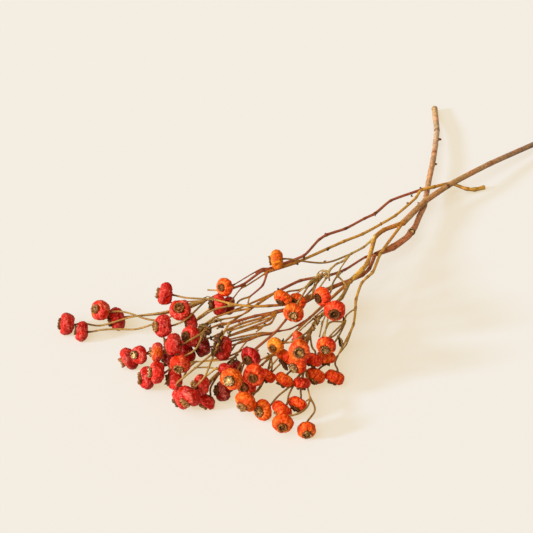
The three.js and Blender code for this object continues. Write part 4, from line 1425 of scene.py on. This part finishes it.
litter = bmesh.new()
tint = litter.verts.layers.float_color.new("tint")
draw = random.Random(LITTER_SEED)
for colour, width, start, end in SCRAPS:
    add_scrap(litter, tint, draw, colour, width, to_scene(start), to_scene(end))
for middle, heading, along, across, count, width, length, colours in CLUMPS:
    heading = Vector(heading)
    for _ in range(count):
        away = Vector([draw.gauss(0, across / 2) for _ in range(3)]) + heading * draw.uniform(-along, along)
        lean = (heading + Vector([draw.gauss(0, CLUMP_LEAN) for _ in range(3)])).normalized()
        lean *= length / 2 * MM * draw.uniform(*CLUMP_LENGTHS)
        spot = held(to_scene(Vector(middle) + away), width)
        colour = draw.choice(colours.split())
        add_scrap(litter, tint, draw, colour, width * draw.uniform(*CLUMP_WIDTHS), spot - lean, spot + lean)
litter_mesh = mesh_from(litter, "litter")
litter_mesh.shade_smooth()
litter_mesh.materials.append(calyx)
new_piece("withered_litter", litter_mesh, "maroon_bark")
print("faces of the litter:", len(litter_mesh.polygons))


# %% [markdown]
# Where a side branch was cut off long ago, the old wood closed round the cut: one
# raised dark ring round a pale flat face. It is spun like the hips and roughened.

# %% Branch scar
SCAR_PLACE = to_scene((8.1, -32.6, 12))
SCAR_FACING = Vector((-0.6, -0.5, 0.63))
SCAR_RADIUS = 2.35 * MM
SCAR_OUTLINE = [  # (radius, height) in the scar's radii, from the middle of its face to its back
    (0, 0.22), (0.4, 0.26), (0.58, 0.24), (0.72, 0.5), (0.9, 0.55), (1.04, 0.3), (1.1, -0.5), (0, -0.6),
]
SCAR_STEPS = 40
SCAR_FINER = 4
SCAR_NOISE = (3, 8, 0.6)  # scale of the coarse and of the fine noise, share of the fine
SCAR_ROUGH, SCAR_ROUGH_LIGHT = 0.1, 0.4
SCAR_FACE = HUSK["straw"] * 1.25
SCAR_RING = HUSK["husk"] * 0.7
SCAR_RING_FROM, SCAR_RING_STEEPNESS = 0.6, 25
SCAR_SKIRT_FROM, SCAR_SKIRT_WIDTH, SCAR_SKIRT_PALE = 0.95, 0.15, 0.75  # past the ring it turns pale again

scar_mesh = spun_mesh("branch_scar", finer(SCAR_OUTLINE, SCAR_FINER), SCAR_STEPS)
scar_tints = []
turn = SCAR_FACING.to_track_quat("Z", "Y").to_matrix()
for vertex in scar_mesh.vertices:
    reach = vertex.co.to_2d().length
    rough = layered(vertex.co, *SCAR_NOISE)
    skirt = SCAR_SKIRT_PALE * max(0.0, reach - SCAR_SKIRT_FROM) / SCAR_SKIRT_WIDTH
    ring = (1 - inside(reach, SCAR_RING_FROM, SCAR_RING_STEEPNESS)) * (1 - skirt)
    scar_tints += [*SCAR_FACE.lerp(SCAR_RING, max(0.0, ring)) * (1 + SCAR_ROUGH_LIGHT * rough)]
    vertex.co = SCAR_PLACE + turn @ (vertex.co * (1 + SCAR_ROUGH * rough)) * SCAR_RADIUS
scar_mesh.attributes.new("tint", "FLOAT_COLOR", "POINT").data.foreach_set("color", scar_tints)
scar_mesh.shade_smooth()
scar_mesh.materials.append(calyx)
new_piece("branch_scar", scar_mesh, "tan_bark")
print("faces of the scar:", len(scar_mesh.polygons))


# %% [markdown]
# ## Floor and light
#
# The spray lies on a plain cream table. Its shadows have to be faint and warm, so a
# part of what the camera sees of it is glow, in a share for each of red, green and
# blue, and only the rest is lit. On the spray it throws back less than its colour.

# %% Floor
FLOOR_HALF_WIDTH = 8
FLOOR_COLOUR = np.array(screen(243, 237, 231))
FLOOR_GLOW = np.array((0.78, 0.66, 0.44, 0))  # the share that glows
FLOOR_BOUNCE = 0.6  # of its colour is what it throws back on the spray

floor_form = bmesh.new()
bmesh.ops.create_grid(floor_form, x_segments=1, y_segments=1, size=FLOOR_HALF_WIDTH)
floor_mesh = mesh_from(floor_form, "table")
floor = bpy.data.objects.new("table", floor_mesh)
bpy.context.scene.collection.objects.link(floor)
floor_material, floor_tree, floor_shader = new_material("table")
path = node(floor_tree, "ShaderNodeLightPath")
seen = path.outputs["Is Camera Ray"]
for kind in ("Is Glossy Ray", "Is Transmission Ray"):
    either = {0: seen, 1: path.outputs[kind]}
    seen = node(floor_tree, "ShaderNodeMath", either, operation="MAXIMUM").outputs[0]
lit = mixed(floor_tree, seen, FLOOR_COLOUR * FLOOR_BOUNCE, FLOOR_COLOUR * (1 - FLOOR_GLOW))
floor_tree.links.new(lit, floor_shader.inputs["Base Color"])
floor_tree.links.new(seen, floor_shader.inputs["Emission Strength"])
floor_shader.inputs["Emission Color"].default_value = FLOOR_COLOUR * FLOOR_GLOW
floor_shader.inputs["Roughness"].default_value = 0.9
floor_shader.inputs["Specular IOR Level"].default_value = 0.1
floor_mesh.materials.append(floor_material)
print("the table is", 2 * FLOOR_HALF_WIDTH, "m wide")


# %% [markdown]
# A low window gives the shadows, a broad lamp from the left front fills them softly,
# and an even warm world fills the rest, so that a colour comes out about as it is
# written.

# %% Lamps and world
Lamp = namedtuple("Lamp", "heading height spread strength colour")
LAMPS = {  # where each comes from and its spread, in degrees
    "window": Lamp(146, 19, 8, 3.2, screen(232, 242, 255)),
    "room": Lamp(182, 52, 50, 1.85, screen(255, 248, 236)),
}
WORLD_COLOUR = screen(255, 238, 206)
WORLD_STRENGTH = 0.3

for name, lamp in LAMPS.items():
    lamp_data = bpy.data.lights.new(name, "SUN")
    lamp_data.energy = lamp.strength
    lamp_data.angle = math.radians(lamp.spread)
    lamp_data.color = lamp.colour[:3]
    lamp_object = bpy.data.objects.new(name, lamp_data)
    lamp_object.rotation_euler = (0, math.radians(90 - lamp.height), math.radians(lamp.heading))
    bpy.context.scene.collection.objects.link(lamp_object)

world = bpy.data.worlds.new("room")
world.use_nodes = True
background = world.node_tree.nodes["Background"]
background.inputs["Color"].default_value = WORLD_COLOUR
background.inputs["Strength"].default_value = WORLD_STRENGTH
bpy.context.scene.world = world
print("lamps:", {name: lamp.strength for name, lamp in LAMPS.items()})
